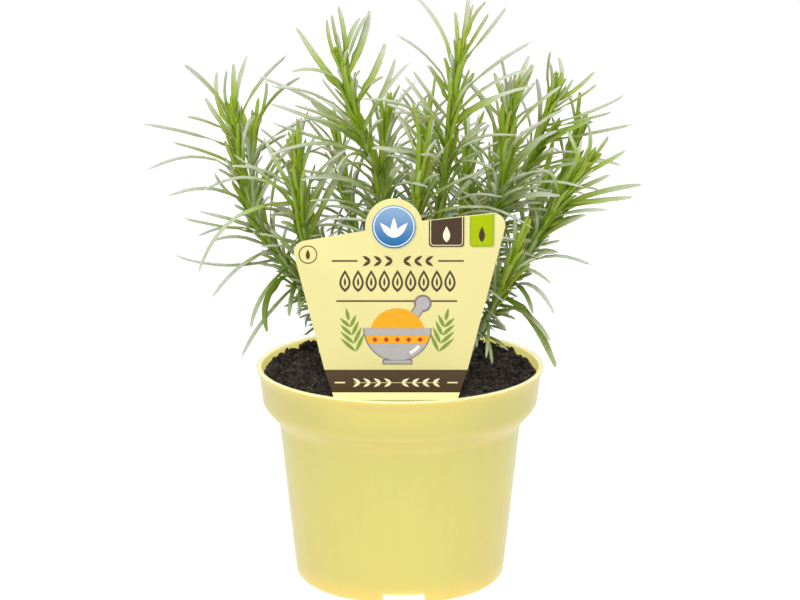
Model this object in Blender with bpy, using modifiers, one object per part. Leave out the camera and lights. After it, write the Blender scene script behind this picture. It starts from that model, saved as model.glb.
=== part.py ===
# A curry plant in a round plastic nursery pot: pot, soil, plant card and eight rooted plants.
# Metres, +Z up. The origin is the centre of the foot ring, on the surface that the pot stands on.
# -Y is the front, where the card stands. Each rooted plant is one solid, with its side shoots and
# leaves grown together, and its foot stands in a plain hole in the soil.

import math
import random
from collections import namedtuple

import bmesh
import bpy
from mathutils import Matrix, Vector, noise

MM = 0.001
GAP = 0.3 * MM  # what touches in the real object keeps this much air

# Pot: a 12 cm pot with a tall collar under its rolled lip
POT_HEIGHT = 90.5 * MM
LIP_RADIUS = 60.0 * MM
LIP_HEIGHT = 3.2 * MM
LIP_ROUNDING = 0.8 * MM
WALL = 1.0 * MM
COLLAR_RADIUS_TOP = 58.6 * MM
COLLAR_RADIUS_FOOT = 57.3 * MM
COLLAR_FOOT = 75.5 * MM  # height of the collar's lower edge
COLLAR_TURN = 1.1 * MM  # how far the wall comes in where it turns under the collar
COLLAR_TURN_HEIGHT = 2.4 * MM
SHOULDER_FOOT = 67.0 * MM  # height where the shoulder under the collar meets the body
BODY_RADIUS_TOP = 50.5 * MM
BODY_RADIUS_FOOT = 43.85 * MM
FLOOR_UNDERSIDE = 5.2 * MM
FOOT_RING_WIDTH = 3.0 * MM
FOOT_ROUNDING = 1.4 * MM
POT_STEPS = 40

# Notches in the foot ring let water out, and holes in the floor let it through
NOTCH_COUNT = 3
NOTCH_WIDTH = 17.2 * MM
NOTCH_HEIGHT = 4.4 * MM
FIRST_NOTCH_ANGLE = math.radians(-88)
DRAIN_COUNT = 6
DRAIN_RADIUS = 3.5 * MM
DRAIN_CIRCLE = 29.0 * MM
DRAIN_SIDES = 12

# Soil: low at the wall, mounded and lumpy in the middle
SOIL_AT_WALL = 85.6 * MM
SOIL_MOUND = 3.4 * MM
SOIL_LUMPS = 1.3 * MM
SOIL_LUMP_SIZE = 9.0 * MM
SOIL_RINGS = 6
STEM_HOLE_SIDES = 8

# Plant card: upright just inside the front of the lip, tapering to the end in the soil
CARD_Y = -42.0 * MM  # its front face
CARD_THICKNESS = 0.6 * MM
CARD_CENTRE_X = -1.6 * MM
CARD_KINK = 98.9 * MM  # above this height the card is a panel, below it a spike for the soil
CARD_KINK_HALF_WIDTH = 28.6 * MM
CARD_PANEL_TAPER = 0.249  # half width lost for each unit further down the panel
CARD_SPIKE_TAPER = 0.32  # and down the spike
CARD_FOOT = 34.0 * MM
CARD_FOOT_CUT = 2.0 * MM  # width of the slanted corner at its foot
CARD_FOOT_CUT_HEIGHT = 5.0 * MM
CARD_LEFT_CORNER = 146.7 * MM  # heights of the upper corners' centres
CARD_RIGHT_CORNER = 157.8 * MM
CARD_CORNER_RADIUS = 4.9 * MM
CARD_CORNER_POINTS = 6
CARD_LEFT_EDGE_TILT = math.radians(9.5)  # the upper edge rises by this to the head
CARD_RIGHT_EDGE_TILT = math.radians(6.4)  # and by this from the head to the right corner
CARD_HEAD_RADIUS = 11.3 * MM
CARD_HEAD_CENTRE = (-2.4 * MM, 157.2 * MM)
CARD_HEAD_START = math.radians(12)  # angles at which the head's arc leaves the upper edge
CARD_HEAD_END = math.radians(188)
CARD_HEAD_POINTS = 17

# Stems
STEM_RADIUS_FOOT = 1.6 * MM
STEM_RADIUS_TIP = 0.8 * MM
STEM_FOOT = 74.0 * MM
STEM_STRAIGHT_TO = 91.0 * MM  # a rooted stem is upright up to here
STEM_SAMPLE = 2.5 * MM
STEM_RING_EVERY = 5  # samples between two rings of the stem's solid

# Leaves: narrow, arched, set round the stem by the golden angle
LEAF_LENGTH = 38.0 * MM
LEAF_WIDTH = 2.8 * MM
LEAF_THICKNESS = 0.95 * MM
LEAF_STEPS = 12
GOLDEN_ANGLE = math.radians(137.5)
CROWDING = 1.15  # above 1 the leaves crowd towards the shoot's tip
LEAN_AT_TIP = math.radians(12)  # angle between a shoot's youngest leaves and its stem
LEAN_AT_FOOT = math.radians(78)
LENGTH_AT_TIP = 0.62  # length as a share of LEAF_LENGTH
LENGTH_GAIN_AT_FOOT = 0.2
LENGTH_GAIN_IN_MIDDLE = 1.5
LONG_LEAF = 36.0 * MM
STATIONS = ((0, 0.35), (5, 1.0), (12, 0.42))  # path step and share of the width
LONG_LEAF_STATIONS = ((0, 0.35), (4, 1.0), (8, 0.92), (12, 0.42))

# A leaf that finds no room is drawn again, further from its first place each time
REACHING_ATTEMPTS = 14
DEPTH_SEARCH = 1.6  # mm in depth for each attempt at a measured tip
ATTEMPTS = 16
FULL_LENGTH_ATTEMPTS = 10
SHORTENED = 0.72
TURN_SEARCH = (math.radians(10), math.radians(5))  # at the first attempt, and more for each later one

# Room kept between leaves, from one path point to another
ROOM_TO_OTHER_PLANT = 3.9 * MM
ROOM_IN_SAME_PLANT = 2.7 * MM
ROOM_TO_CARD = 3.4 * MM
ROOM_OVER_SOIL = 94.0 * MM
ROOM_ROUND_LIP = 63.5 * MM
REACH_IN_DEPTH = 60.5 * MM  # no leaf goes further forward or back than this
REACH_TO_SIDES = 101.0 * MM
FREE_ROOT_STEPS = 4  # path steps near the root that may touch the same plant

# A shoot: the height (mm) where it leaves the rooted stem, None on that stem itself; the points that
# its stem passes (mm); the length below its leaves (mm); its number of leaves and their random seed.
# Its reaches are the leaves that shape the plant's outline: each has its tip's x, y and z and its root's
# height (mm).
Shoot = namedtuple("Shoot", "parent_at passes bare leaf_count seed reaches", defaults=((),))

PLANTS = {
    "curry_plant_left": [
        Shoot(
            None, [(-17, 1, 91), (-28, 0, 108), (-46, -2, 132), (-61, -5, 158), (-67, -8, 194)], 34, 24, 210,
            [
                (-85, -25, 219, 192), (-74, -3, 213, 189), (-69, -15, 216, 195), (-67, -7, 217, 196),
                (-62, 1, 219, 197), (-45, 2, 220, 190), (-84, -30, 199, 186), (-100, -42, 198, 181),
                (-91, -24, 188, 173), (-101, -42, 180, 169), (-80, 8, 201, 185), (-94, -14, 164, 159),
                (-74, -26, 176, 159), (-87, -24, 157, 147), (-83, 6, 154, 148), (-83, -8, 146, 145),
                (-79, 10, 140, 139), (-91, -24, 142, 136), (-76, -22, 124, 140), (-61, -16, 110, 133),
                (-54, -24, 110, 130), (-65, -14, 97, 126),
            ],
        ),
        Shoot(
            104, [(-36, -12, 130), (-40, -19, 157), (-41, -22, 180)], 10, 16, 862,
            [
                (-41, -24, 198, 173), (-40, -16, 195, 170), (-54, -26, 190, 165), (-34, -18, 190, 170),
                (-80, -20, 167, 162), (-80, -38, 138, 162),
            ],
        ),
        Shoot(148, [(-61, 8, 167), (-60, 14, 189)], 8, 12, 93, [(-55, 14, 207, 189), (-41, 10, 209, 186)]),
    ],
    "curry_plant_mid_left": [
        Shoot(
            None, [(-3, -3, 91), (-4, -8, 125), (-8, -13, 167), (-16, -17, 192), (-23, -20, 218)], 24, 26, 4,
            [
                (-29, -14, 236, 216), (-27, -22, 239, 215), (-24, -28, 243, 215), (-16, -12, 236, 214),
                (-12, -22, 240, 213), (-41, -20, 233, 204), (-6, -14, 226, 201), (-6, -28, 215, 200),
                (-43, -24, 216, 203), (-31, -32, 215, 194), (-52, -24, 210, 193), (-57, -14, 213, 188),
                (-42, -32, 204, 188), (-36, -8, 202, 184), (-51, -20, 195, 181), (-52, -28, 184, 177),
                (4, -18, 219, 189), (-2, -8, 219, 192), (-52, -4, 201, 186),
            ],
        ),
        Shoot(
            104, [(-5, 8, 130), (-7, 18, 158), (-6, 24, 184)], 16, 20, 5,
            [(0, 24, 204, 184), (7, 30, 204, 181), (9, 32, 190, 177)],
        ),
        Shoot(100, [(-12, 16, 122), (-20, 33, 146), (-26, 46, 172)], 14, 18, 879),
    ],
    "curry_plant_mid_right": [
        Shoot(
            None, [(8, -5, 91), (13, -10, 125), (17, -17, 165), (20, -23, 196), (24, -26, 223)], 24, 24, 393,
            [
                (6, -24, 246, 208), (-2, -32, 232, 204), (11, -18, 218, 201), (5, -36, 218, 196),
                (2, -22, 214, 191), (27, -27, 247, 224), (29, -19, 242, 221), (33, -34, 246, 224),
                (35, -22, 240, 220), (42, -30, 243, 219), (53, -20, 228, 203), (-15, -30, 206, 185),
                (-5, -36, 205, 178), (-11, -38, 188, 174),
            ],
        ),
        Shoot(106, [(5, -18, 135), (6, -27, 158), (8, -32, 176)], 14, 16, 663),
        Shoot(101, [(18, 6, 125), (25, 13, 149), (28, 16, 171)], 12, 20, 9),
    ],
    "curry_plant_right": [
        Shoot(
            None, [(19, 2, 91), (28, -2, 125), (39, -7, 160), (42, -10, 182), (44, -12, 200)], 24, 22, 10,
            [
                (38, -6, 213, 192), (40, -18, 222, 195), (45, -12, 214, 199), (52, -6, 220, 196),
                (53, -16, 217, 198), (22, -22, 217, 187), (54, -22, 212, 195),
            ],
        ),
        Shoot(
            101, [(33, 5, 130), (46, 9, 158), (55, 13, 177), (62, 16, 197)], 14, 18, 858,
            [
                (62, 14, 220, 198), (66, 22, 215, 198), (71, 12, 208, 194), (81, 20, 210, 193),
                (80, 8, 207, 192), (93, 16, 201, 188), (87, 8, 195, 186), (79, 2, 192, 184),
                (97, 20, 188, 181), (85, -2, 176, 165), (91, 6, 173, 164),
            ],
        ),
    ],
    "curry_plant_far_right": [
        Shoot(
            None, [(27, -8, 91), (37, -10, 116), (53, -12, 141), (65, -16, 163), (75, -18, 177)], 14, 12, 12,
            [
                (76, -14, 192, 176), (83, -22, 190, 174), (91, -10, 182, 172), (85, -16, 172, 165),
                (100, 12, 164, 160), (93, -26, 166, 161), (84, -10, 161, 157), (83, -28, 161, 155),
                (75, -18, 157, 150), (64, -20, 142, 139), (78, -28, 138, 128), (61, -24, 130, 124),
                (62, -30, 119, 122), (64, -16, 93, 122), (61, -24, 106, 119),
            ],
        ),
        Shoot(99, [(40, 2, 116), (51, 10, 133), (64, 19, 156), (73, 26, 180)], 12, 20, 365),
        Shoot(102, [(37, -18, 117), (41, -23, 128), (45, -26, 140)], 4, 7, 280),
    ],
    "curry_plant_back": [
        Shoot(None, [(3, 14, 91), (6, 28, 118), (9, 42, 150), (11, 52, 180)], 18, 24, 596),
        Shoot(101, [(-5, 30, 112), (-8, 42, 128), (-7, 52, 148)], 8, 14, 118),
    ],
    "curry_plant_back_right": [
        Shoot(None, [(17, 15, 91), (26, 27, 118), (35, 39, 146), (43, 48, 176)], 18, 22, 669),
        Shoot(100, [(34, 24, 113), (50, 33, 130), (60, 41, 154)], 10, 16, 107),
    ],
    "curry_plant_back_left": [
        Shoot(None, [(-12, 13, 91), (-22, 24, 112), (-36, 37, 138), (-44, 46, 166)], 16, 22, 428),
        Shoot(99, [(-30, 18, 110), (-48, 26, 126), (-60, 30, 150)], 8, 18, 143),
    ],
}


def clear_scene():
    for obj in list(bpy.data.objects):
        bpy.data.objects.remove(obj)


def new_collection(name, hidden=False):
    collection = bpy.data.collections.new(name)
    collection.hide_render = hidden
    bpy.context.scene.collection.children.link(collection)
    return collection


def material(name, colour, roughness):
    made = bpy.data.materials.new(name)
    made.use_nodes = True
    shader = made.node_tree.nodes["Principled BSDF"]
    shader.inputs["Base Color"].default_value = (*colour, 1.0)
    shader.inputs["Roughness"].default_value = roughness
    shader.inputs["Metallic"].default_value = 0.0
    return made


def add_object(name, mesh, collection, surface=None):
    obj = bpy.data.objects.new(name, mesh)
    collection.objects.link(obj)
    if surface:
        mesh.materials.clear()
        mesh.materials.append(surface)
    return obj


def smooth_shade(obj, sharp_angle=math.radians(35)):
    obj.data.shade_smooth()
    obj.data.set_sharp_from_angle(angle=sharp_angle)


def apply_modifiers(obj):
    """Replaces the object's mesh by its evaluated one."""
    evaluated = obj.evaluated_get(bpy.context.evaluated_depsgraph_get())
    mesh = bpy.data.meshes.new_from_object(evaluated)
    obj.modifiers.clear()
    obj.data = mesh


def turned_solid(name, profile, collection, surface):
    """A profile of (radius, height) points that starts and ends on the axis, turned about Z."""
    mesh = bpy.data.meshes.new(name)
    points = [(radius, 0.0, height) for radius, height in profile]
    edges = [(i, i + 1) for i in range(len(points) - 1)]
    mesh.from_pydata(points, edges, [])
    obj = add_object(name, mesh, collection, surface)
    screw = obj.modifiers.new("turned", "SCREW")
    screw.steps = POT_STEPS
    screw.render_steps = POT_STEPS
    screw.use_merge_vertices = True
    screw.merge_threshold = 0.00001
    apply_modifiers(obj)
    return obj


def combine(obj, others, operation):
    """One Boolean of the object with all that the collection holds; the collection's objects then go."""
    boolean = obj.modifiers.new(operation.lower(), "BOOLEAN")
    boolean.operation = operation
    boolean.operand_type = "COLLECTION"
    boolean.collection = others
    boolean.solver = "EXACT"
    apply_modifiers(obj)
    for other in list(others.objects):
        bpy.data.objects.remove(other)


def add_box(name, low, high, collection):
    mesh = bpy.data.meshes.new(name)
    shape = bmesh.new()
    size = Vector(high) - Vector(low)
    centre = (Vector(high) + Vector(low)) / 2
    bmesh.ops.create_cube(shape, size=1.0, matrix=Matrix.Translation(centre) @ Matrix.Diagonal((*size, 1.0)))
    shape.to_mesh(mesh)
    shape.free()
    return add_object(name, mesh, collection)


def add_rod(name, centre, radius, low, high, sides, collection):
    mesh = bpy.data.meshes.new(name)
    shape = bmesh.new()
    place = Matrix.Translation((centre[0], centre[1], (low + high) / 2))
    bmesh.ops.create_cone(
        shape, cap_ends=True, segments=sides, radius1=radius, radius2=radius, depth=high - low, matrix=place
    )
    shape.to_mesh(mesh)
    shape.free()
    return add_object(name, mesh, collection)


def pot_inner_radius(height):
    """Radius of the pot's inner wall at a height above the floor."""
    floor_top = FLOOR_UNDERSIDE + WALL
    corners = [
        (floor_top, BODY_RADIUS_FOOT - WALL),
        (SHOULDER_FOOT + WALL, BODY_RADIUS_TOP - WALL),
        (COLLAR_FOOT + WALL, COLLAR_RADIUS_FOOT - WALL),
        (POT_HEIGHT, COLLAR_RADIUS_TOP - WALL),
    ]
    for (low, radius_low), (high, radius_high) in zip(corners, corners[1:]):
        if height <= high:
            return radius_low + (radius_high - radius_low) * (height - low) / (high - low)
    return corners[-1][1]


def pot_profile():
    floor_top = FLOOR_UNDERSIDE + WALL
    ring_inside = BODY_RADIUS_FOOT - FOOT_RING_WIDTH
    lip_under = POT_HEIGHT - LIP_HEIGHT
    lip_inside = COLLAR_RADIUS_TOP - WALL
    return [
        (0.0, floor_top),
        (pot_inner_radius(floor_top), floor_top),
        (BODY_RADIUS_TOP - WALL, SHOULDER_FOOT + WALL),
        (COLLAR_RADIUS_FOOT - WALL, COLLAR_FOOT + WALL),
        (lip_inside, POT_HEIGHT - LIP_ROUNDING),
        (lip_inside + LIP_ROUNDING, POT_HEIGHT),
        (LIP_RADIUS - LIP_ROUNDING, POT_HEIGHT),
        (LIP_RADIUS, POT_HEIGHT - LIP_ROUNDING),
        (LIP_RADIUS, lip_under + LIP_ROUNDING),
        (COLLAR_RADIUS_TOP, lip_under),
        (COLLAR_RADIUS_FOOT, COLLAR_FOOT),
        (COLLAR_RADIUS_FOOT - COLLAR_TURN, COLLAR_FOOT - COLLAR_TURN_HEIGHT),
        (BODY_RADIUS_TOP, SHOULDER_FOOT),
        (BODY_RADIUS_FOOT, FOOT_ROUNDING),
        (BODY_RADIUS_FOOT - FOOT_ROUNDING, 0.0),
        (ring_inside, 0.0),
        (ring_inside, FLOOR_UNDERSIDE),
        (0.0, FLOOR_UNDERSIDE),
    ]


def make_pot(parts, cutters):
    plastic = material("pale_yellow_plastic", (0.78, 0.68, 0.24), 0.35)
    pot = turned_solid("pot", pot_profile(), parts, plastic)
    for i in range(NOTCH_COUNT):
        angle = FIRST_NOTCH_ANGLE + i * math.tau / NOTCH_COUNT
        low = (BODY_RADIUS_FOOT - 2 * FOOT_RING_WIDTH, -NOTCH_WIDTH / 2, -NOTCH_HEIGHT)
        high = (BODY_RADIUS_FOOT + FOOT_RING_WIDTH, NOTCH_WIDTH / 2, NOTCH_HEIGHT)
        notch = add_box("notch_cutter", low, high, cutters)
        notch.rotation_euler = (0.0, 0.0, angle)
    for i in range(DRAIN_COUNT):
        angle = FIRST_NOTCH_ANGLE + (i + 0.5) * math.tau / DRAIN_COUNT
        centre = (DRAIN_CIRCLE * math.cos(angle), DRAIN_CIRCLE * math.sin(angle))
        low = FLOOR_UNDERSIDE - 2 * WALL
        high = FLOOR_UNDERSIDE + 3 * WALL
        add_rod("drain_cutter", centre, DRAIN_RADIUS, low, high, DRAIN_SIDES, cutters)
    combine(pot, cutters, "DIFFERENCE")
    smooth_shade(pot)


def soil_profile():
    floor_top = FLOOR_UNDERSIDE + WALL
    wall_radius = pot_inner_radius(SOIL_AT_WALL) - GAP
    heights = (SOIL_AT_WALL, COLLAR_FOOT + WALL, SHOULDER_FOOT + WALL, floor_top + GAP)
    top = [(wall_radius * i / SOIL_RINGS, SOIL_AT_WALL) for i in range(SOIL_RINGS)]
    side = [(pot_inner_radius(height) - GAP, height) for height in heights]
    return top + side + [(0.0, floor_top + GAP)]


def soil_height(x, y):
    """Height of the soil's surface: a low mound with lumps that die away at the pot's wall."""
    share = min(1.0, math.hypot(x, y) / pot_inner_radius(SOIL_AT_WALL))
    mound = SOIL_MOUND * (1.0 - share**3)
    place = Vector((x, y, 0.0)) / SOIL_LUMP_SIZE
    lumps = SOIL_LUMPS * noise.noise(place) * (1.0 - share**6)
    return SOIL_AT_WALL + mound + lumps


def make_soil(parts, cutters):
    peat = material("dark_peat_soil", (0.022, 0.015, 0.011), 0.95)
    soil = turned_solid("soil", soil_profile(), parts, peat)
    for vertex in soil.data.vertices:
        if vertex.co.z > SOIL_AT_WALL - GAP:
            vertex.co.z = soil_height(vertex.co.x, vertex.co.y)
    hole = (STEM_RADIUS_FOOT + GAP) / math.cos(math.pi / STEM_HOLE_SIDES)
    for shoots in PLANTS.values():
        foot = [value * MM for value in shoots[0].passes[0]]
        add_rod("stem_hole_cutter", foot, hole, STEM_FOOT - GAP, 1.1 * POT_HEIGHT, STEM_HOLE_SIDES, cutters)
    slot = card_outline_object("card_slot_cutter", cutters, GAP)
    slot.data.extrude += GAP
    make_curve_a_mesh(slot, cutters)
    combine(soil, cutters, "DIFFERENCE")
    smooth_shade(soil)


def card_half_width(height):
    taper = CARD_PANEL_TAPER if height > CARD_KINK else CARD_SPIKE_TAPER
    return CARD_KINK_HALF_WIDTH + taper * (height - CARD_KINK)


def arc_points(centre, radius, start, end, count):
    angles = [start + (end - start) * i / (count - 1) for i in range(count)]
    return [(centre[0] + radius * math.cos(a), centre[1] + radius * math.sin(a)) for a in angles]


def card_outline(margin):
    """The card's outline in X and Z, counterclockwise from the foot, grown by a margin."""
    slant = math.atan(CARD_PANEL_TAPER)
    inset = CARD_CORNER_RADIUS / math.cos(slant) - margin
    left = (CARD_CENTRE_X - card_half_width(CARD_LEFT_CORNER) + inset, CARD_LEFT_CORNER)
    right = (CARD_CENTRE_X + card_half_width(CARD_RIGHT_CORNER) - inset, CARD_RIGHT_CORNER)
    right_edge = math.pi / 2 + CARD_RIGHT_EDGE_TILT
    left_edge = math.pi / 2 + CARD_LEFT_EDGE_TILT
    foot = CARD_FOOT - margin
    foot_half = card_half_width(CARD_FOOT) - CARD_FOOT_CUT + margin
    knee = CARD_FOOT + CARD_FOOT_CUT_HEIGHT
    spike = [
        (foot_half, foot), (card_half_width(knee) + margin, knee), (CARD_KINK_HALF_WIDTH + margin, CARD_KINK),
    ]
    points = [(CARD_CENTRE_X + half, height) for half, height in spike]
    points += arc_points(right, CARD_CORNER_RADIUS, -slant, right_edge, CARD_CORNER_POINTS)
    points += arc_points(CARD_HEAD_CENTRE, CARD_HEAD_RADIUS, CARD_HEAD_START, CARD_HEAD_END, CARD_HEAD_POINTS)
    points += arc_points(left, CARD_CORNER_RADIUS, left_edge, math.pi + slant, CARD_CORNER_POINTS)
    points += [(CARD_CENTRE_X - half, height) for half, height in reversed(spike)]
    return points


def card_outline_object(name, collection, margin):
    curve = bpy.data.curves.new(name, "CURVE")
    curve.dimensions = "2D"
    curve.fill_mode = "BOTH"
    curve.extrude = CARD_THICKNESS / 2
    spline = curve.splines.new("POLY")
    outline = card_outline(margin)
    spline.points.add(len(outline) - 1)
    for point, (x, z) in zip(spline.points, outline):
        point.co = (x, z, 0.0, 1.0)
    spline.use_cyclic_u = True
    obj = bpy.data.objects.new(name, curve)
    obj.rotation_euler = (math.radians(90), 0.0, 0.0)
    obj.location = (0.0, CARD_Y + CARD_THICKNESS / 2, 0.0)
    collection.objects.link(obj)
    return obj


def make_curve_a_mesh(obj, collection, surface=None):
    """A welded mesh object in the curve object's place, under the same name."""
    bpy.context.view_layer.update()
    evaluated = obj.evaluated_get(bpy.context.evaluated_depsgraph_get())
    mesh = bpy.data.meshes.new_from_object(evaluated)
    shape = bmesh.new()
    shape.from_mesh(mesh)
    bmesh.ops.remove_doubles(shape, verts=shape.verts, dist=0.00001)
    bmesh.ops.recalc_face_normals(shape, faces=shape.faces)
    shape.to_mesh(mesh)
    shape.free()
    name = obj.name
    place = obj.matrix_world.copy()
    bpy.data.objects.remove(obj)
    made = add_object(name, mesh, collection, surface)
    made.matrix_world = place
    return made


def make_card(parts):
    plastic = material("printed_card_plastic", (0.90, 0.82, 0.38), 0.30)
    card = card_outline_object("plant_card", parts, 0.0)
    make_curve_a_mesh(card, parts, plastic)


def spline_points(points, first_direction):
    """A smooth curve through the points, sampled about every STEM_SAMPLE."""
    before = points[0] - first_direction.normalized() * (points[1] - points[0]).length
    after = points[-1] + (points[-1] - points[-2])
    chain = [before, *points, after]
    samples = []
    for a, b, c, d in zip(chain, chain[1:], chain[2:], chain[3:]):
        steps = max(2, round((c - b).length / STEM_SAMPLE))
        for i in range(steps):
            t = i / steps
            bend = (2 * a - 5 * b + 4 * c - d) * t**2 + (3 * b - a - 3 * c + d) * t**3
            samples.append((2 * b + (c - a) * t + bend) / 2)
    samples.append(points[-1].copy())
    return samples


def stem_path(shoot, parent_path):
    """The points along a shoot's stem, from its foot in the soil or from its parent's middle."""
    passes = [Vector(point) * MM for point in shoot.passes]
    if parent_path is None:
        foot = Vector((passes[0].x, passes[0].y, STEM_FOOT))
        below = Vector((passes[0].x, passes[0].y, (STEM_FOOT + STEM_STRAIGHT_TO) / 2))
        return [foot, below, *spline_points(passes, Vector((0.0, 0.0, 1.0)))]
    height = shoot.parent_at * MM
    start = min(range(1, len(parent_path)), key=lambda i: abs(parent_path[i].z - height))
    along = parent_path[start] - parent_path[start - 1]
    return spline_points([parent_path[start], *passes], along)


def stem_radius(share):
    return STEM_RADIUS_FOOT + (STEM_RADIUS_TIP - STEM_RADIUS_FOOT) * share


def make_stem(name, path, collection):
    """A tapered four-sided tube along the path, as a closed mesh."""
    rings = [0, *range(2, len(path) - 2, STEM_RING_EVERY), len(path) - 1]
    curve = bpy.data.curves.new(name, "CURVE")
    curve.dimensions = "3D"
    curve.bevel_depth = 1.0
    curve.bevel_resolution = 0
    curve.use_fill_caps = True
    spline = curve.splines.new("POLY")
    spline.points.add(len(rings) - 1)
    for point, ring in zip(spline.points, rings):
        point.co = (*path[ring], 1.0)
        point.radius = stem_radius(ring / (len(path) - 1))
    obj = bpy.data.objects.new(name, curve)
    collection.objects.link(obj)
    return make_curve_a_mesh(obj, collection)


Leaf = namedtuple("Leaf", "points across length")  # path points, direction across the blade


def leaf_path(root, along, tip, arch):
    """A leaf's arched path: it leaves its root along the stem and bends over towards its tip."""
    reach = tip - root
    turn = along.angle(reach) / math.radians(90)
    pull = reach.length * arch * (0.46 - 0.14 * turn)
    bend = root + reach * (0.15 + 0.22 * turn) + along * pull
    points = []
    for step in range(LEAF_STEPS + 1):
        t = step / LEAF_STEPS
        points.append(root * (1 - t) ** 2 + bend * (2 * t * (1 - t)) + tip * t**2)
    return Leaf(points, along.cross(reach).normalized(), reach.length)


def cell_of(point):
    return tuple(math.floor(value / ROOM_TO_OTHER_PLANT) for value in point)


def take_room(taken, plant, points, free_steps):
    """Notes each path point in its cell of space, with its plant and whether it is free to touch."""
    for step, point in enumerate(points):
        taken.setdefault(cell_of(point), []).append((plant, step < free_steps, point))


def clear_of_pot_and_card(point):
    if abs(point.x) > REACH_TO_SIDES or abs(point.y) > REACH_IN_DEPTH:
        return False
    near_pot = math.hypot(point.x, point.y) < ROOM_ROUND_LIP
    if near_pot and point.z < ROOM_OVER_SOIL:
        return False
    if point.y > CARD_Y + ROOM_TO_CARD:
        return True
    head_top = CARD_HEAD_CENTRE[1] + CARD_HEAD_RADIUS + ROOM_TO_CARD
    beside = abs(point.x - CARD_CENTRE_X) > card_half_width(point.z) + ROOM_TO_CARD
    return point.z > head_top or (beside and not near_pot)


def has_room(leaf, plant, taken):
    """True if no path point comes too near to another leaf or stem, the pot or the card."""
    for step, point in enumerate(leaf.points):
        if not clear_of_pot_and_card(point):
            return False
        x, y, z = cell_of(point)
        for cell in [(x + i, y + j, z + k) for i in (-1, 0, 1) for j in (-1, 0, 1) for k in (-1, 0, 1)]:
            for other_plant, free, other in taken.get(cell, ()):
                same = other_plant == plant
                if same and (free or step < FREE_ROOT_STEPS):
                    continue
                room = ROOM_IN_SAME_PLANT if same else ROOM_TO_OTHER_PLANT
                if (point - other).length_squared < room * room:
                    return False
    return True


def reaching_leaf(draw, reach, path, plant, taken):
    """A leaf to a measured tip. Where it has no room, its tip moves in depth and its root along the stem."""
    x, y, z, root_height = reach
    nearest = min(range(1, len(path)), key=lambda i: abs(path[i].z - root_height * MM))
    for attempt in range(REACHING_ATTEMPTS):
        at = min(len(path) - 1, nearest + attempt % 3)
        along = (path[at] - path[at - 1]).normalized()
        depth = y + attempt * draw.uniform(-DEPTH_SEARCH, DEPTH_SEARCH)
        leaf = leaf_path(path[at], along, Vector((x, depth, z)) * MM, draw.uniform(0.7, 1.1))
        if has_room(leaf, plant, taken):
            return leaf
    return None


def grow_leaf(draw, shoot, path, index, plant, taken):
    """Leaf number index of a shoot, counted from its tip, or None where there is no room for it."""
    down = index / max(1, shoot.leaf_count - 1)  # 0 at the tip, 1 at the lowest leaf
    bare_steps = round(shoot.bare * MM / STEM_SAMPLE)
    span = len(path) - 1 - bare_steps
    at = len(path) - 1 - round(span * down**CROWDING)
    along = (path[at] - path[at - 1]).normalized()
    side = along.orthogonal().normalized()
    middle = down * (1.0 - down)
    reach = LEAF_LENGTH * (LENGTH_AT_TIP + LENGTH_GAIN_IN_MIDDLE * middle + LENGTH_GAIN_AT_FOOT * down)
    for attempt in range(ATTEMPTS):
        spread = TURN_SEARCH[0] + TURN_SEARCH[1] * attempt
        turn = index * GOLDEN_ANGLE + draw.uniform(-spread, spread)
        outward = Matrix.Rotation(turn, 3, along) @ side
        length = reach * draw.uniform(0.84, 1.10) * (1.0 if attempt < FULL_LENGTH_ATTEMPTS else SHORTENED)
        lean = LEAN_AT_TIP + (LEAN_AT_FOOT - LEAN_AT_TIP) * down**0.7 + math.radians(draw.uniform(-9, 12))
        heading = along * math.cos(lean) + outward * math.sin(lean)
        heading.z -= draw.uniform(0.0, 0.4) * down
        leaf = leaf_path(path[at], along, path[at] + heading * length, draw.uniform(0.6, 1.15))
        if has_room(leaf, plant, taken):
            return leaf
    return None


def add_blade(name, leaf, collection):
    """A three-sided blade along a leaf's path: flat above, keeled below, narrow at its tip."""
    long_leaf = leaf.length > LONG_LEAF
    width = LEAF_WIDTH * (0.62 + 0.38 * min(1.0, leaf.length / LONG_LEAF))
    shape = bmesh.new()
    bmesh.ops.create_circle(shape, cap_ends=True, segments=3, radius=LEAF_WIDTH)
    shape.faces.ensure_lookup_table()
    end = shape.faces[0]
    for number, (step, share) in enumerate(LONG_LEAF_STATIONS if long_leaf else STATIONS):
        if number:
            grown = bmesh.ops.extrude_face_region(shape, geom=[end])
            if number > 1:
                bmesh.ops.delete(shape, geom=[end], context="FACES_ONLY")
            end = next(item for item in grown["geom"] if isinstance(item, bmesh.types.BMFace))
        before = leaf.points[max(0, step - 1)]
        after = leaf.points[min(LEAF_STEPS, step + 1)]
        upper = (after - before).cross(leaf.across).normalized()
        edge = leaf.across * (width / 2 * share)
        depth = LEAF_THICKNESS * (0.5 + 0.5 * share)
        corners = (edge + upper * depth / 3, -edge + upper * depth / 3, -upper * depth * 2 / 3)
        for vertex, corner in zip([loop.vert for loop in end.loops], corners):
            vertex.co = leaf.points[step] + corner
    bmesh.ops.recalc_face_normals(shape, faces=shape.faces)
    mesh = bpy.data.meshes.new(name)
    shape.to_mesh(mesh)
    shape.free()
    return add_object(name, mesh, collection)


def stem_paths():
    """Each plant's stem paths, the rooted one first."""
    paths = {}
    for plant, shoots in PLANTS.items():
        rooted = stem_path(shoots[0], None)
        paths[plant] = [rooted] + [stem_path(shoot, rooted) for shoot in shoots[1:]]
    return paths


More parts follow.
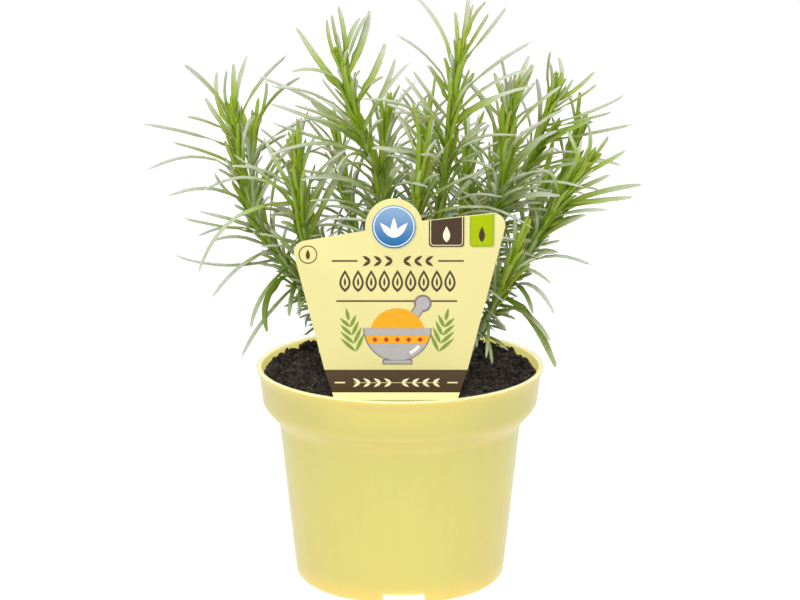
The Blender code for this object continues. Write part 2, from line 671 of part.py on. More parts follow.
def grow_leaves(paths):
    """All leaves by plant: first those that reach a measured tip, then the rest, shoot by shoot."""
    taken = {}
    for plant in PLANTS:
        for path in paths[plant]:
            take_room(taken, plant, path, 0)
    leaves = {plant: [] for plant in PLANTS}

    def keep(plant, leaf):
        if leaf:
            leaves[plant].append(leaf)
            take_room(taken, plant, leaf.points, FREE_ROOT_STEPS)

    for plant, shoots in PLANTS.items():
        for shoot, path in zip(shoots, paths[plant]):
            draw = random.Random(shoot.seed)
            for reach in shoot.reaches:
                keep(plant, reaching_leaf(draw, reach, path, plant, taken))
    for plant, shoots in PLANTS.items():
        for shoot, path in zip(shoots, paths[plant]):
            draw = random.Random(shoot.seed)
            for index in range(shoot.leaf_count):
                keep(plant, grow_leaf(draw, shoot, path, index, plant, taken))
    return leaves


def make_plants(parts, pieces):
    green = material("curry_plant_green", (0.25, 0.36, 0.09), 0.60)
    paths = stem_paths()
    leaves = grow_leaves(paths)
    for plant in PLANTS:
        solid = make_stem(plant, paths[plant][0], parts)
        for path in paths[plant][1:]:
            make_stem("side_stem", path, pieces)
        for leaf in leaves[plant]:
            add_blade("leaf", leaf, pieces)
        combine(solid, pieces, "UNION")
        solid.data.materials.clear()
        solid.data.materials.append(green)
        smooth_shade(solid)


def main():
    clear_scene()
    parts = new_collection("potted_curry_plant")
    cutters = new_collection("cutters", hidden=True)
    make_pot(parts, cutters)
    make_soil(parts, cutters)
    make_card(parts)
    make_plants(parts, cutters)


main()
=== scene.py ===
# %% [markdown]
# Potted curry plant.
# A curry plant is a herb with narrow, felted, grey-green leaves. This one is sold in a pale yellow
# plastic pot with dark soil, and a printed card stands in front of its shoots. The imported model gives
# the frame: where the pot, soil, card and plants are, in metres, with +Z up. The cells below dress it
# piece by piece.

# %% Load the frame
import math
import random
from collections import namedtuple
from itertools import product

import bpy
import numpy as np
from mathutils import Matrix, Vector, noise


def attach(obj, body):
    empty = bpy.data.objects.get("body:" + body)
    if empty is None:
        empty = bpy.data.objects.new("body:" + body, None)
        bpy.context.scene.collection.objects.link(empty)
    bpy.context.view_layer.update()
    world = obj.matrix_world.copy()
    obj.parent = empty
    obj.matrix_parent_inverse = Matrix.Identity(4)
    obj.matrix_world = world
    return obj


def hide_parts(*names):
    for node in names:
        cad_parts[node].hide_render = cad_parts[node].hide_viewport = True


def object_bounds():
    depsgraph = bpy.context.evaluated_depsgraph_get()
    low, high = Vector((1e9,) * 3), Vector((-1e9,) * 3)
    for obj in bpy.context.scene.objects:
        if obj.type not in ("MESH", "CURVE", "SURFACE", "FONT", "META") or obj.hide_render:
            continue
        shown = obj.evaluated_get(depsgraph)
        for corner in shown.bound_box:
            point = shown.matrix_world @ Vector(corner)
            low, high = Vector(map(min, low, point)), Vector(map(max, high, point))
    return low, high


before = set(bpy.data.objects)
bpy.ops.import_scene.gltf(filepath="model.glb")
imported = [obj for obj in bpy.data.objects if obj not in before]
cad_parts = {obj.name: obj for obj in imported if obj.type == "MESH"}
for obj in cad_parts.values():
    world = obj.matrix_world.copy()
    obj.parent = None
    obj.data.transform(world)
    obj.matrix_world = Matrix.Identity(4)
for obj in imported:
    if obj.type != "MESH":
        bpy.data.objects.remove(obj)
cad_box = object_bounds()
MM = 0.001
print("nodes", sorted(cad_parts))

# %% [markdown]
# A few helpers come first. Blender's operators work on what is selected and active, so each step starts
# by selecting just one object. A finished piece keeps its place in its mesh, and its object stays at
# the origin, because patterns read the object's coordinates.

# %% Helpers for objects


def select_only(*objects):
    if bpy.context.object and bpy.context.object.mode != "OBJECT":
        bpy.ops.object.mode_set(mode="OBJECT")
    bpy.ops.object.select_all(action="DESELECT")
    for obj in objects:
        obj.select_set(True)
    bpy.context.view_layer.objects.active = objects[0]


def settle(obj):
    """Moves the object's place, turn and scale into its mesh."""
    select_only(obj)
    bpy.ops.object.transform_apply(location=True, rotation=True, scale=True)


def join(objects, name):
    select_only(*objects)
    if len(objects) > 1:
        bpy.ops.object.join()
    made = bpy.context.object
    made.name = name
    made.data.name = name
    return made


def smooth(obj, degrees):
    select_only(obj)
    bpy.ops.object.shade_smooth_by_angle(angle=math.radians(degrees))


def finish_piece(obj, slot, *nodes):
    """The piece rides on the part and may stand for nodes of the part. Its slot is not used."""
    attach(obj, "root")
    if nodes:
        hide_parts(*nodes)
    triangles = sum(len(face.vertices) - 2 for face in obj.data.polygons)
    print(obj.name, triangles, "triangles")


def paint(obj, *materials):
    obj.data.materials.clear()
    for surface in materials:
        obj.data.materials.append(surface)


# %% [markdown]
# Turned pieces and leaf blades are both lofts: a ring that is extruded and resized again and again. By
# hand this is a circle primitive, then E and S for each station. The helper does the same from a list
# of radii and heights, and fillets turn the list's corners into small arcs.

# %% Loft a ring through stations


def loft(name, sides, stations):
    """A closed loft about Z through (radius, height) stations, with its two ends filled."""
    radius, height = stations[0]
    bpy.ops.object.select_all(action="DESELECT")
    bpy.ops.mesh.primitive_circle_add(vertices=sides, radius=radius, location=(0, 0, height))
    obj = bpy.context.object
    obj.name = name
    settle(obj)
    bpy.ops.object.mode_set(mode="EDIT")
    bpy.ops.mesh.select_all(action="SELECT")
    bpy.ops.mesh.edge_face_add()
    for (r0, h0), (r1, h1) in zip(stations, stations[1:]):
        bpy.ops.mesh.extrude_region_move(TRANSFORM_OT_translate={"value": (0, 0, h1 - h0)})
        bpy.ops.transform.resize(value=(r1 / r0, r1 / r0, 1), center_override=(0, 0, h1))
    bpy.ops.mesh.select_all(action="SELECT")
    bpy.ops.mesh.normals_make_consistent(inside=False)
    bpy.ops.object.mode_set(mode="OBJECT")
    return obj


def arc_at(start, bend, end, t):
    """The point at share t of an arc that leaves its start towards the bend."""
    return start * (1 - t) ** 2 + bend * (2 * t * (1 - t)) + end * t**2


def with_fillets(corners, steps=4):
    """Replaces each (radius, height, fillet) corner by an arc that starts and ends a fillet from it."""
    points = []
    for i, (radius, height, fillet) in enumerate(corners):
        here = Vector((radius, height))
        if not fillet:
            points.append(tuple(here))
            continue
        before = Vector(corners[i - 1][:2]) - here
        after = Vector(corners[i + 1][:2]) - here
        start = here + before.normalized() * min(fillet, before.length / 2)
        end = here + after.normalized() * min(fillet, after.length / 2)
        points += [tuple(arc_at(start, here, end, step / steps)) for step in range(steps + 1)]
    return points


# %% [markdown]
# The camera stands where the photographer stood. The pot's lip, collar and foot edges give its
# distance, height and tilt, and the long lens keeps the pot's sides nearly straight.

# %% Camera
PHOTO_WIDTH = 800
FOCAL_PIXELS = 2406.5
SENSOR_WIDTH = 36.0
CAMERA_DISTANCE = 0.9712
CAMERA_HEIGHT = 0.3481
CAMERA_DOWN = math.radians(13.352)

bpy.ops.object.camera_add(
    location=(0, -CAMERA_DISTANCE, CAMERA_HEIGHT), rotation=(math.pi / 2 - CAMERA_DOWN, 0, 0)
)
camera = bpy.context.object
camera.name = "photo_camera"
camera.data.sensor_width = SENSOR_WIDTH
camera.data.lens = FOCAL_PIXELS / PHOTO_WIDTH * SENSOR_WIDTH
bpy.context.scene.camera = camera
print("lens", round(camera.data.lens, 1), "mm")

# %% [markdown]
# Materials are built from nodes. Real surfaces are never one flat value, so one small node group gives
# every finish its mottling: noise at a chosen size, spread between a low and a high value. It is made
# once and placed in each material with its own numbers.

# %% Mottle group
NOISE_LOW, NOISE_HIGH = 0.3, 0.7  # most of the noise lies between these


def add_node(tree, kind, values=(), **settings):
    """A new node with its settings. Each input, by name or number, takes a value or another's output."""
    node = tree.nodes.new(kind)
    for key, value in settings.items():
        setattr(node, key, value)
    for key, value in dict(values).items():
        if isinstance(value, bpy.types.NodeSocket):
            tree.links.new(value, node.inputs[key])
        else:
            node.inputs[key].default_value = value
    return node


def make_mottle_group():
    group = bpy.data.node_groups.new("mottle", "ShaderNodeTree")
    group.interface.new_socket("Vector", in_out="INPUT", socket_type="NodeSocketVector")
    for name in ("Scale", "Detail", "Low", "High"):
        group.interface.new_socket(name, in_out="INPUT", socket_type="NodeSocketFloat")
    group.interface.new_socket("Value", in_out="OUTPUT", socket_type="NodeSocketFloat")
    given = add_node(group, "NodeGroupInput").outputs
    placing = {name: given[name] for name in ("Vector", "Scale", "Detail")}
    pattern = add_node(group, "ShaderNodeTexNoise", placing)
    spread = add_node(group, "ShaderNodeMapRange", {
        "Value": pattern.outputs["Fac"], "From Min": NOISE_LOW, "From Max": NOISE_HIGH,
        "To Min": given["Low"], "To Max": given["High"],
    })
    add_node(group, "NodeGroupOutput", {"Value": spread.outputs["Result"]})
    return group


MOTTLE = make_mottle_group()
print("mottle group of", len(MOTTLE.nodes), "nodes")

# %% [markdown]
# A finish is a Principled shader with a colour and a gloss that vary a little. The class holds one
# material and its short ways to add a pattern, so each finish below reads as a list of what it has.

# %% Finishes from nodes


class Finish:
    """A material with its Principled shader, and short ways to add patterns to it."""

    def __init__(self, name, colour, roughness, **sockets):
        self.material = bpy.data.materials.new(name)
        self.material.use_nodes = True
        self.tree = self.material.node_tree
        self.shader = self.tree.nodes["Principled BSDF"]
        self.shader.inputs["Base Color"].default_value = (*colour, 1)
        self.shader.inputs["Roughness"].default_value = roughness
        for key, value in sockets.items():
            socket = key.replace("_", " ").title().replace("Ior", "IOR")
            self.shader.inputs[socket].default_value = value
        self.place = add_node(self.tree, "ShaderNodeTexCoord").outputs["Object"]

    def link(self, output, target):
        self.tree.links.new(output, self.shader.inputs[target])

    def stretched(self, scale):
        """Object coordinates stretched by a factor on each axis."""
        values = {"Vector": self.place, "Scale": scale}
        return add_node(self.tree, "ShaderNodeMapping", values).outputs["Vector"]

    def mottle(self, scale, low=0.0, high=1.0, detail=3.0, vector=None):
        values = {"Scale": scale, "Detail": detail, "Low": low, "High": high}
        values["Vector"] = vector or self.place
        return add_node(self.tree, "ShaderNodeGroup", values, node_tree=MOTTLE).outputs["Value"]

    def mix(self, factor, first, second):
        """Two colours, each a plain one or another node's output, mixed by a factor."""
        first, second = ((*value, 1) if isinstance(value, tuple) else value for value in (first, second))
        values = {0: factor, 6: first, 7: second}
        return add_node(self.tree, "ShaderNodeMix", values, data_type="RGBA").outputs[2]

    def math(self, operation, first, second):
        values = {0: first, 1: second}
        return add_node(self.tree, "ShaderNodeMath", values, operation=operation).outputs[0]

    def ramp(self, value, low, high, start=0.0, end=1.0):
        """Value spread smoothly from low..high to start..end."""
        values = {"Value": value, "From Min": low, "From Max": high, "To Min": start, "To Max": end}
        node = add_node(self.tree, "ShaderNodeMapRange", values, interpolation_type="SMOOTHSTEP")
        return node.outputs["Result"]

    def height(self):
        """The Z of the surface point."""
        return add_node(self.tree, "ShaderNodeSeparateXYZ", {0: self.place}).outputs["Z"]

    def attribute(self, name):
        return add_node(self.tree, "ShaderNodeAttribute", attribute_name=name).outputs["Fac"]

    def two_tone(self, scale, first, second):
        """Patches of two base colours."""
        self.link(self.mix(self.mottle(scale), first, second), "Base Color")

    def gloss(self, scale, low, high, detail=3.0):
        """Patches of more and less roughness."""
        self.link(self.mottle(scale, low, high, detail), "Roughness")

    def relief(self, pattern, depth):
        """A bump of that depth in metres."""
        values = {"Height": pattern, "Strength": 1.0, "Distance": depth}
        node = add_node(self.tree, "ShaderNodeBump", values)
        self.link(node.outputs["Normal"], "Normal")


print("finish class ready")

# %% [markdown]
# The pot is thin injection-moulded polypropylene, pale yellow and a little glossy. Light passes through
# its wall. Subsurface scattering gives its soft shade, and a faint painted glow and a brighter painted
# yellow on the inner wall stand in for the light that comes through. The lip's paler cream is a painted
# highlight, and the collar is painted a little darker, as shade. The mould leaves faint lines where the
# plastic flowed down the wall, and small patches of more and less gloss.

# %% Pot plastic
PLASTIC_YELLOW = (0.79, 0.625, 0.178)
PLASTIC_SHADE = (0.780, 0.612, 0.168)
# painted shade: the collar is a darker yellow than the body, against the extra light it gets
COLLAR_PAINTED_SHADE = (0.665, 0.558, 0.170)
# painted glow: the inner wall above the soil is a brighter yellow and glows, as the light through the
# wall
INNER_PAINTED_GLOW = (0.88, 0.78, 0.27)
# painted highlight: the lip's top is a paler cream, as light from above
LIP_PAINTED_HIGHLIGHT = (0.84, 0.77, 0.42)
COLLAR_SHADE_FROM = 66.0 * MM  # the body's yellow turns into the collar's painted shade between these heights
COLLAR_SHADE_TO = 76.0 * MM

pot_plastic = Finish(
    "pale_yellow_polypropylene", PLASTIC_YELLOW, 0.30, subsurface_weight=1.0, subsurface_scale=0.005,
    # painted glow: the strength of the inner wall's glow
    emission_strength=0.33,
)
pot_plastic.shader.inputs["Subsurface Radius"].default_value = (1.0, 0.85, 0.35)
flow_lines = pot_plastic.stretched((230, 230, 4))
flow = pot_plastic.mottle(1.0, detail=1.0, vector=flow_lines)
inner_glow_mask = pot_plastic.attribute("inner_glow_mask")
lip = pot_plastic.attribute("lip")
outer_yellow = pot_plastic.mix(flow, PLASTIC_YELLOW, PLASTIC_SHADE)
# painted shade: the collar is darker from these heights up
collar_shade_share = pot_plastic.ramp(pot_plastic.height(), COLLAR_SHADE_FROM, COLLAR_SHADE_TO)
outer_yellow = pot_plastic.mix(collar_shade_share, outer_yellow, COLLAR_PAINTED_SHADE)
# painted glow: a brighter yellow on the inner wall
wall_yellow = pot_plastic.mix(inner_glow_mask, outer_yellow, INNER_PAINTED_GLOW)
# painted highlight: a paler cream on the lip
pot_plastic.link(pot_plastic.mix(lip, wall_yellow, LIP_PAINTED_HIGHLIGHT), "Base Color")
# painted glow: the inner wall glows yellow
pot_plastic.link(pot_plastic.mix(inner_glow_mask, (0, 0, 0), INNER_PAINTED_GLOW), "Emission Color")
pot_plastic.gloss(900.0, 0.28, 0.32, detail=1.0)
print("plastic ready")

# %% [markdown]
# The pot itself is one turned wall. Its profile runs from the middle of the underside to the foot ring,
# up the body, out at the shoulder to the tall collar, round the rolled lip and down the inside. The
# loft helper turns it later. The inner radius is needed again for the soil.

# %% Pot profile
POT_HEIGHT = 90.5 * MM
LIP_RADIUS = 60.0 * MM
LIP_HEIGHT = 3.2 * MM
WALL = 1.0 * MM
COLLAR_RADIUS_TOP = 58.6 * MM
COLLAR_RADIUS_FOOT = 57.3 * MM
COLLAR_FOOT = 75.5 * MM
COLLAR_TURN = 1.1 * MM
COLLAR_TURN_HEIGHT = 2.4 * MM
SHOULDER_FOOT = 67.0 * MM
BODY_RADIUS_TOP = 50.5 * MM
BODY_RADIUS_FOOT = 43.85 * MM
FLOOR_UNDERSIDE = 5.2 * MM
FOOT_RING_WIDTH = 3.0 * MM
FOOT_ROUNDING = 1.4 * MM


def pot_inner_radius(height):
    """Radius of the pot's inner wall at a height above the floor."""
    corners = [
        (FLOOR_UNDERSIDE + WALL, BODY_RADIUS_FOOT - WALL),
        (SHOULDER_FOOT + WALL, BODY_RADIUS_TOP - WALL),
        (COLLAR_FOOT + WALL, COLLAR_RADIUS_FOOT - WALL),
        (POT_HEIGHT, COLLAR_RADIUS_TOP - WALL),
    ]
    for (low, radius_low), (high, radius_high) in zip(corners, corners[1:]):
        if height <= high:
            return radius_low + (radius_high - radius_low) * (height - low) / (high - low)
    return corners[-1][1]


def pot_stations():
    floor_top = FLOOR_UNDERSIDE + WALL
    ring_inside = BODY_RADIUS_FOOT - FOOT_RING_WIDTH
    lip_under = POT_HEIGHT - LIP_HEIGHT
    inside = COLLAR_RADIUS_TOP - WALL
    return with_fillets([
        (0.5 * MM, FLOOR_UNDERSIDE, 0),
        (ring_inside, FLOOR_UNDERSIDE, 0.8 * MM),
        (ring_inside, 0.0, 0.4 * MM),
        (BODY_RADIUS_FOOT - FOOT_ROUNDING, 0.0, 0.3 * MM),
        (BODY_RADIUS_FOOT, FOOT_ROUNDING, 1.2 * MM),
        (BODY_RADIUS_TOP, SHOULDER_FOOT, 3.0 * MM),
        (COLLAR_RADIUS_FOOT - COLLAR_TURN, COLLAR_FOOT - COLLAR_TURN_HEIGHT, 1.6 * MM),
        (COLLAR_RADIUS_FOOT, COLLAR_FOOT, 1.2 * MM),
        (COLLAR_RADIUS_TOP, lip_under - 0.6 * MM, 2.4 * MM),
        (LIP_RADIUS, POT_HEIGHT - 1.0 * MM, 0.7 * MM),
        (LIP_RADIUS - 0.1 * MM, POT_HEIGHT, 0.5 * MM),
        (inside, POT_HEIGHT, 1.3 * MM),
        (COLLAR_RADIUS_FOOT - WALL, COLLAR_FOOT + WALL, 1.2 * MM),
        (BODY_RADIUS_TOP - WALL, SHOULDER_FOOT + WALL, 2.0 * MM),
        (BODY_RADIUS_FOOT - WALL, floor_top, 1.0 * MM),
        (0.5 * MM, floor_top, 0),
    ])


print("pot profile of", len(pot_stations()), "points")

# %% [markdown]
# The foot ring has three drain notches with rounded edges, and the floor has a ring of holes. The
# mould's slides leave them, and here one Boolean cuts them all. Two marks are then kept on the mesh for
# its finish: the inner wall above the soil, for a painted glow, and the lip, for a painted highlight.

# %% Pot
NOTCH_COUNT = 3
NOTCH_WIDTH = 17.2 * MM
NOTCH_HEIGHT = 4.4 * MM
NOTCH_ROUNDING = 0.7 * MM
FIRST_NOTCH_ANGLE = math.radians(-88)
DRAIN_COUNT = 6
DRAIN_RADIUS = 3.5 * MM
DRAIN_CIRCLE = 29.0 * MM
DRAIN_SIDES = 32
POT_SIDES = 192


def cut(obj, cutters):
    """Cuts all the cutters out of the object in one Boolean, and removes them."""
    cutter = join(cutters, "cutter")
    settle(cutter)
    select_only(obj)
    boolean = obj.modifiers.new("cut", "BOOLEAN")
    boolean.operation = "DIFFERENCE"
    boolean.object = cutter
    bpy.ops.object.modifier_apply(modifier="cut")
    bpy.data.objects.remove(cutter)


def mark_painted_glow_and_highlight(pot):
    """Marks the lip for a painted highlight, and the inner wall above the soil for a painted glow."""
    inner, lip_highlight_marks = [], []
    for vertex in pot.data.vertices:
        outward = Vector((vertex.co.x, vertex.co.y, 0)).normalized()
        # painted glow: the inner wall above the soil, where light comes through the thin plastic
        inner.append(float(vertex.normal.dot(outward) < -0.3 and vertex.co.z > COLLAR_FOOT))
        # painted highlight: the lip's upward faces
        lip_highlight_marks.append(float(vertex.normal.z > 0.1 and vertex.co.z > POT_HEIGHT - LIP_HEIGHT / 2))
    for name, marks in (("inner_glow_mask", inner), ("lip", lip_highlight_marks)):
        pot.data.attributes.new(name, "FLOAT", "POINT").data.foreach_set("value", marks)


def make_pot():
    pot = loft("nursery_pot", POT_SIDES, pot_stations())
    cutters = []
    for i in range(NOTCH_COUNT):
        angle = FIRST_NOTCH_ANGLE + i * math.tau / NOTCH_COUNT
        along = Vector((math.cos(angle), math.sin(angle), 0)) * BODY_RADIUS_FOOT
        bpy.ops.mesh.primitive_cube_add(size=1, location=along, rotation=(0, 0, angle))
        notch = bpy.context.object
        notch.scale = (4 * FOOT_RING_WIDTH, NOTCH_WIDTH, 2 * NOTCH_HEIGHT)
        settle(notch)
        rounding = notch.modifiers.new("rounding", "BEVEL")
        rounding.width = NOTCH_ROUNDING
        rounding.segments = 3
        bpy.ops.object.modifier_apply(modifier="rounding")
        cutters.append(notch)
    for i in range(DRAIN_COUNT):
        angle = FIRST_NOTCH_ANGLE + (i + 0.5) * math.tau / DRAIN_COUNT
        place = (DRAIN_CIRCLE * math.cos(angle), DRAIN_CIRCLE * math.sin(angle), FLOOR_UNDERSIDE)
        bpy.ops.mesh.primitive_cylinder_add(
            vertices=DRAIN_SIDES, radius=DRAIN_RADIUS, depth=6 * WALL, location=place
        )
        cutters.append(bpy.context.object)
    cut(pot, cutters)
    smooth(pot, 32)
    mark_painted_glow_and_highlight(pot)
    paint(pot, pot_plastic.material)
    finish_piece(pot, "pot_plastic", "pot")


make_pot()

# %% [markdown]
# The soil is peat-free compost: nearly black when moist and crumbly, with brown wood and coir fibres.
# All four finishes are two tones in fine patches with a relief, and only their colours and sizes
# differ. Bumps give this grain more cheaply than a finer mesh would.

# %% Soil finishes
SOIL_DARK = (0.011, 0.0075, 0.0055)
SOIL_BROWN = (0.100, 0.066, 0.042)
# Each woody finish: its middle colour and roughness, the size of its patches, its dark and its light
# tone, and the size and depth of its relief
WOODY_FINISHES = {
    "coir_fibre": (
        (0.13, 0.10, 0.070), 0.80, 160.0, (0.045, 0.033, 0.024), (0.26, 0.21, 0.15), 2500.0, 0.0001,
    ),
    "bark_chip": (
        (0.22, 0.16, 0.09), 0.80, 900.0, (0.09, 0.06, 0.035), (0.30, 0.22, 0.12), 2600.0, 0.0002,
    ),
    "bark_strip": (
        (0.060, 0.040, 0.026), 0.75, 420.0, (0.022, 0.015, 0.011), (0.115, 0.078, 0.050), 1800.0, 0.0003,
    ),
}

peat = Finish("moist_compost", SOIL_DARK, 0.85)
clods = peat.mottle(620.0, detail=6.0)
peat.link(peat.mix(peat.ramp(clods, 0.35, 1.1), SOIL_DARK, SOIL_BROWN), "Base Color")
peat.gloss(700.0, 0.62, 0.98)
peat.relief(peat.mottle(1500.0, detail=6.0), 0.0005)
for name, (colour, roughness, patches, dark, light, grain, depth) in WOODY_FINISHES.items():
    woody = Finish(name, colour, roughness)
    woody.two_tone(patches, dark, light)
    woody.relief(woody.mottle(grain), depth)
print("soil finishes ready")

# %% [markdown]
# The soil's surface is uneven: it is mounded in the middle, rises towards the back, climbs unevenly at
# the wall and dips where the card was pushed in. It is a fine turned disc whose points are pushed up
# and down by noise of three sizes. A formula for its height also tells the loose bits where to lie.

# %% Soil surface
SOIL_AT_WALL = 85.6 * MM
SOIL_MOUND = 3.4 * MM
SOIL_BACK_RISE = 1.5 * MM
SOIL_LUMPS = 1.3 * MM
SOIL_LUMP_SIZE = 9.0 * MM
SOIL_CLODS = 2.1 * MM
SOIL_CLOD_SIZE = 3.6 * MM
SOIL_CRUMBS = 0.6 * MM
SOIL_CRUMB_SIZE = 1.3 * MM
CLOD_PLACE = Vector((9, 4, 2))  # apart in the noise, so that the sizes don't line up
CRUMB_PLACE = Vector((3, 8, 5))
SOIL_DIP = 8.0 * MM  # where the card was pushed in, close to the front wall
DIP_HALF_WIDTH = 31.0 * MM
DIP_BEHIND_CARD = 1.0 * MM
DIP_BACK_SLOPE = 2.5 * MM
DIP_SIDE_SLOPE = 5 * MM
CARD_Y = -42.0 * MM
CARD_CENTRE_X = -1.6 * MM
SOIL_SIDES = 240
SOIL_RINGS = 84
AIR = 0.3 * MM


def before_card(x, y):
    """1 in front of the card, where there is little soil, falling to 0 behind it and beside it."""
    ahead = min(1.0, max(0.0, (CARD_Y + DIP_BEHIND_CARD - y) / DIP_BACK_SLOPE))
    across = min(1.0, max(0.0, (DIP_HALF_WIDTH - abs(x - CARD_CENTRE_X)) / DIP_SIDE_SLOPE))
    return ahead * across


def soil_height(x, y):
    """The packed soil's surface, with clods and crumbs added."""
    wall = pot_inner_radius(SOIL_AT_WALL)
    share = min(1.0, math.hypot(x, y) / wall)
    place = Vector((x, y, 0.0))
    height = SOIL_AT_WALL + SOIL_MOUND * (1.0 - share**3)
    height += SOIL_BACK_RISE * max(0.0, y) / wall
    height += SOIL_LUMPS * noise.noise(place / SOIL_LUMP_SIZE) * (1.0 - share**6)
    clod = abs(noise.noise(place / SOIL_CLOD_SIZE + CLOD_PLACE))
    crumb = noise.noise(place / SOIL_CRUMB_SIZE + CRUMB_PLACE)
    dip = before_card(x, y)
    rough = SOIL_CLODS * clod * (1.0 + share) + SOIL_CRUMBS * crumb
    return height - SOIL_DIP * dip + (1.0 - dip) * rough


def make_soil():
    floor = FLOOR_UNDERSIDE + WALL + AIR
    wall_radius = pot_inner_radius(SOIL_AT_WALL) - AIR
    levels = (floor, SHOULDER_FOOT + WALL, COLLAR_FOOT + WALL)
    side = [(pot_inner_radius(level) - AIR, level) for level in levels]
    rings = [(wall_radius * (SOIL_RINGS - i) / SOIL_RINGS, SOIL_AT_WALL) for i in range(SOIL_RINGS)]
    soil = loft("potting_soil", SOIL_SIDES, [(1 * MM, floor)] + side + rings)
    for vertex in soil.data.vertices:
        if vertex.co.z > SOIL_AT_WALL - AIR:
            vertex.co.z = soil_height(vertex.co.x, vertex.co.y)
    smooth(soil, 60)
    paint(soil, peat.material)
    finish_piece(soil, "peat", "soil")


make_soil()

# %% [markdown]
# Loose crumbs and a few chips of bark lie on the surface. Each is a copy of one of four lumpy balls,
# which is turned, resized and set a little into the soil. That is cheaper and looks looser than more
# noise in the surface. The random numbers have a fixed seed, so the soil is the same each time.

# %% Crumbs and chips
SOIL_SEED = 7
LOOSE_MARGIN = -3.0 * MM  # no crumbs lie nearer than this behind the card's front
BALL_KINDS = 4
BALL_BUMPS = 2.6
BALL_BUMP_HEIGHT = 0.7
CRUMB_LIFTS = (-0.1, 0.25)  # added to how far a crumb is raised
# Each kind: how many, between which shares of the soil's radius, sizes in mm, and how far the middle is
# raised as a share of the size
CRUMBS = ((620, (0.0, 0.955), (0.6, 2.2), 0.0), (330, (0.90, 0.965), (1.2, 3.4), 0.15))
CHIPS = ((14, (0.2, 0.93), (0.8, 1.7), 0.3),)


def lumpy_ball(seed):
    bpy.ops.object.select_all(action="DESELECT")
    bpy.ops.mesh.primitive_ico_sphere_add(subdivisions=2, radius=0.5)
    ball = bpy.context.object
    for vertex in ball.data.vertices:
        push = noise.noise(vertex.co * BALL_BUMPS + Vector((seed, 0, 0)))
        vertex.co *= 1.0 + BALL_BUMP_HEIGHT * push
    return ball


def copy_of(original, transform=None):
    made = bpy.data.objects.new("copy", original.data.copy())
    bpy.context.collection.objects.link(made)
    if transform is not None:
        made.data.transform(transform)
    return made


def placed(x, y, z, size, draw, flat=0.75):
    turn = Matrix.Rotation(draw.uniform(0, math.tau), 4, "Z")
    turn = turn @ Matrix.Rotation(draw.uniform(-0.6, 0.6), 4, "X")
    scale = Matrix.Diagonal((size * draw.uniform(0.8, 1.3), size, size * flat, 1))
    return Matrix.Translation((x, y, z)) @ turn @ scale


def on_soil(draw, low_share, high_share):
    """A random place on the soil, between two shares of its radius, evenly spread over its area."""
    while True:
        share = math.sqrt(draw.uniform(low_share**2, high_share**2))
        radius = share * (pot_inner_radius(SOIL_AT_WALL) - AIR)
        angle = draw.uniform(0, math.tau)
        x, y = radius * math.cos(angle), radius * math.sin(angle)
        if not before_card(x, y + LOOSE_MARGIN):
            return x, y


def make_loose(name, bits, surface, smoothing):
    """Joins loose bits into one piece."""
    made = join(bits, name)
    paint(made, bpy.data.materials[surface])
    smooth(made, smoothing)
    finish_piece(made, "peat")


def make_lumps(name, kinds, surface, draw, lifts=None):
    balls = [lumpy_ball(seed) for seed in range(BALL_KINDS)]
    lumps = []
    for count, shares, sizes, raised in kinds:
        for _ in range(count):
            x, y = on_soil(draw, *shares)
            size = draw.uniform(*sizes) * MM
            z = soil_height(x, y) + size * (raised + (draw.uniform(*lifts) if lifts else 0.0))
            lumps.append(copy_of(balls[len(lumps) % BALL_KINDS], placed(x, y, z, size, draw)))
    make_loose(name, lumps, surface, 50)
    for ball in balls:
        bpy.data.objects.remove(ball)


lump_draw = random.Random(SOIL_SEED)
make_lumps("soil_crumbs", CRUMBS, "moist_compost", lump_draw, CRUMB_LIFTS)
make_lumps("soil_grains", CHIPS, "bark_chip", lump_draw)

# %% [markdown]
# Coir fibres, dead rootlets and strips of bark lie on the soil or arch out of it. Each is one thin
# tapered strand with four sides, bowed sideways and up along its length. Hair curves would be quicker to
# make, but the export would lose them, so these are meshes.

# %% Fibres, rootlets and bark
STRAND_STATIONS = [(0.35, 0.0), (0.5, 0.25), (0.5, 0.5), (0.4, 0.75), (0.15, 1.0)]
STRAND_SIDES = 4
STRAND_BOW = 0.5  # share of the length
STRAND_CLEARANCE = 0.1 * MM
# Each kind: how many, between which shares of the soil's radius, lengths and radii in mm, how high the
# middle arches as a share of the length, and the finish
STRANDS = {
    "soil_fibres": (340, (0.05, 0.96), (1.5, 7.0), (0.07, 0.17), (0.0, 0.35), "coir_fibre"),
    "soil_rootlets": (60, (0.86, 0.94), (2.5, 5.0), (0.28, 0.55), (0.3, 0.7), "moist_compost"),
    "soil_bark": (260, (0.1, 0.95), (2.0, 6.0), (0.22, 0.55), (0.0, 0.15), "bark_strip"),
}


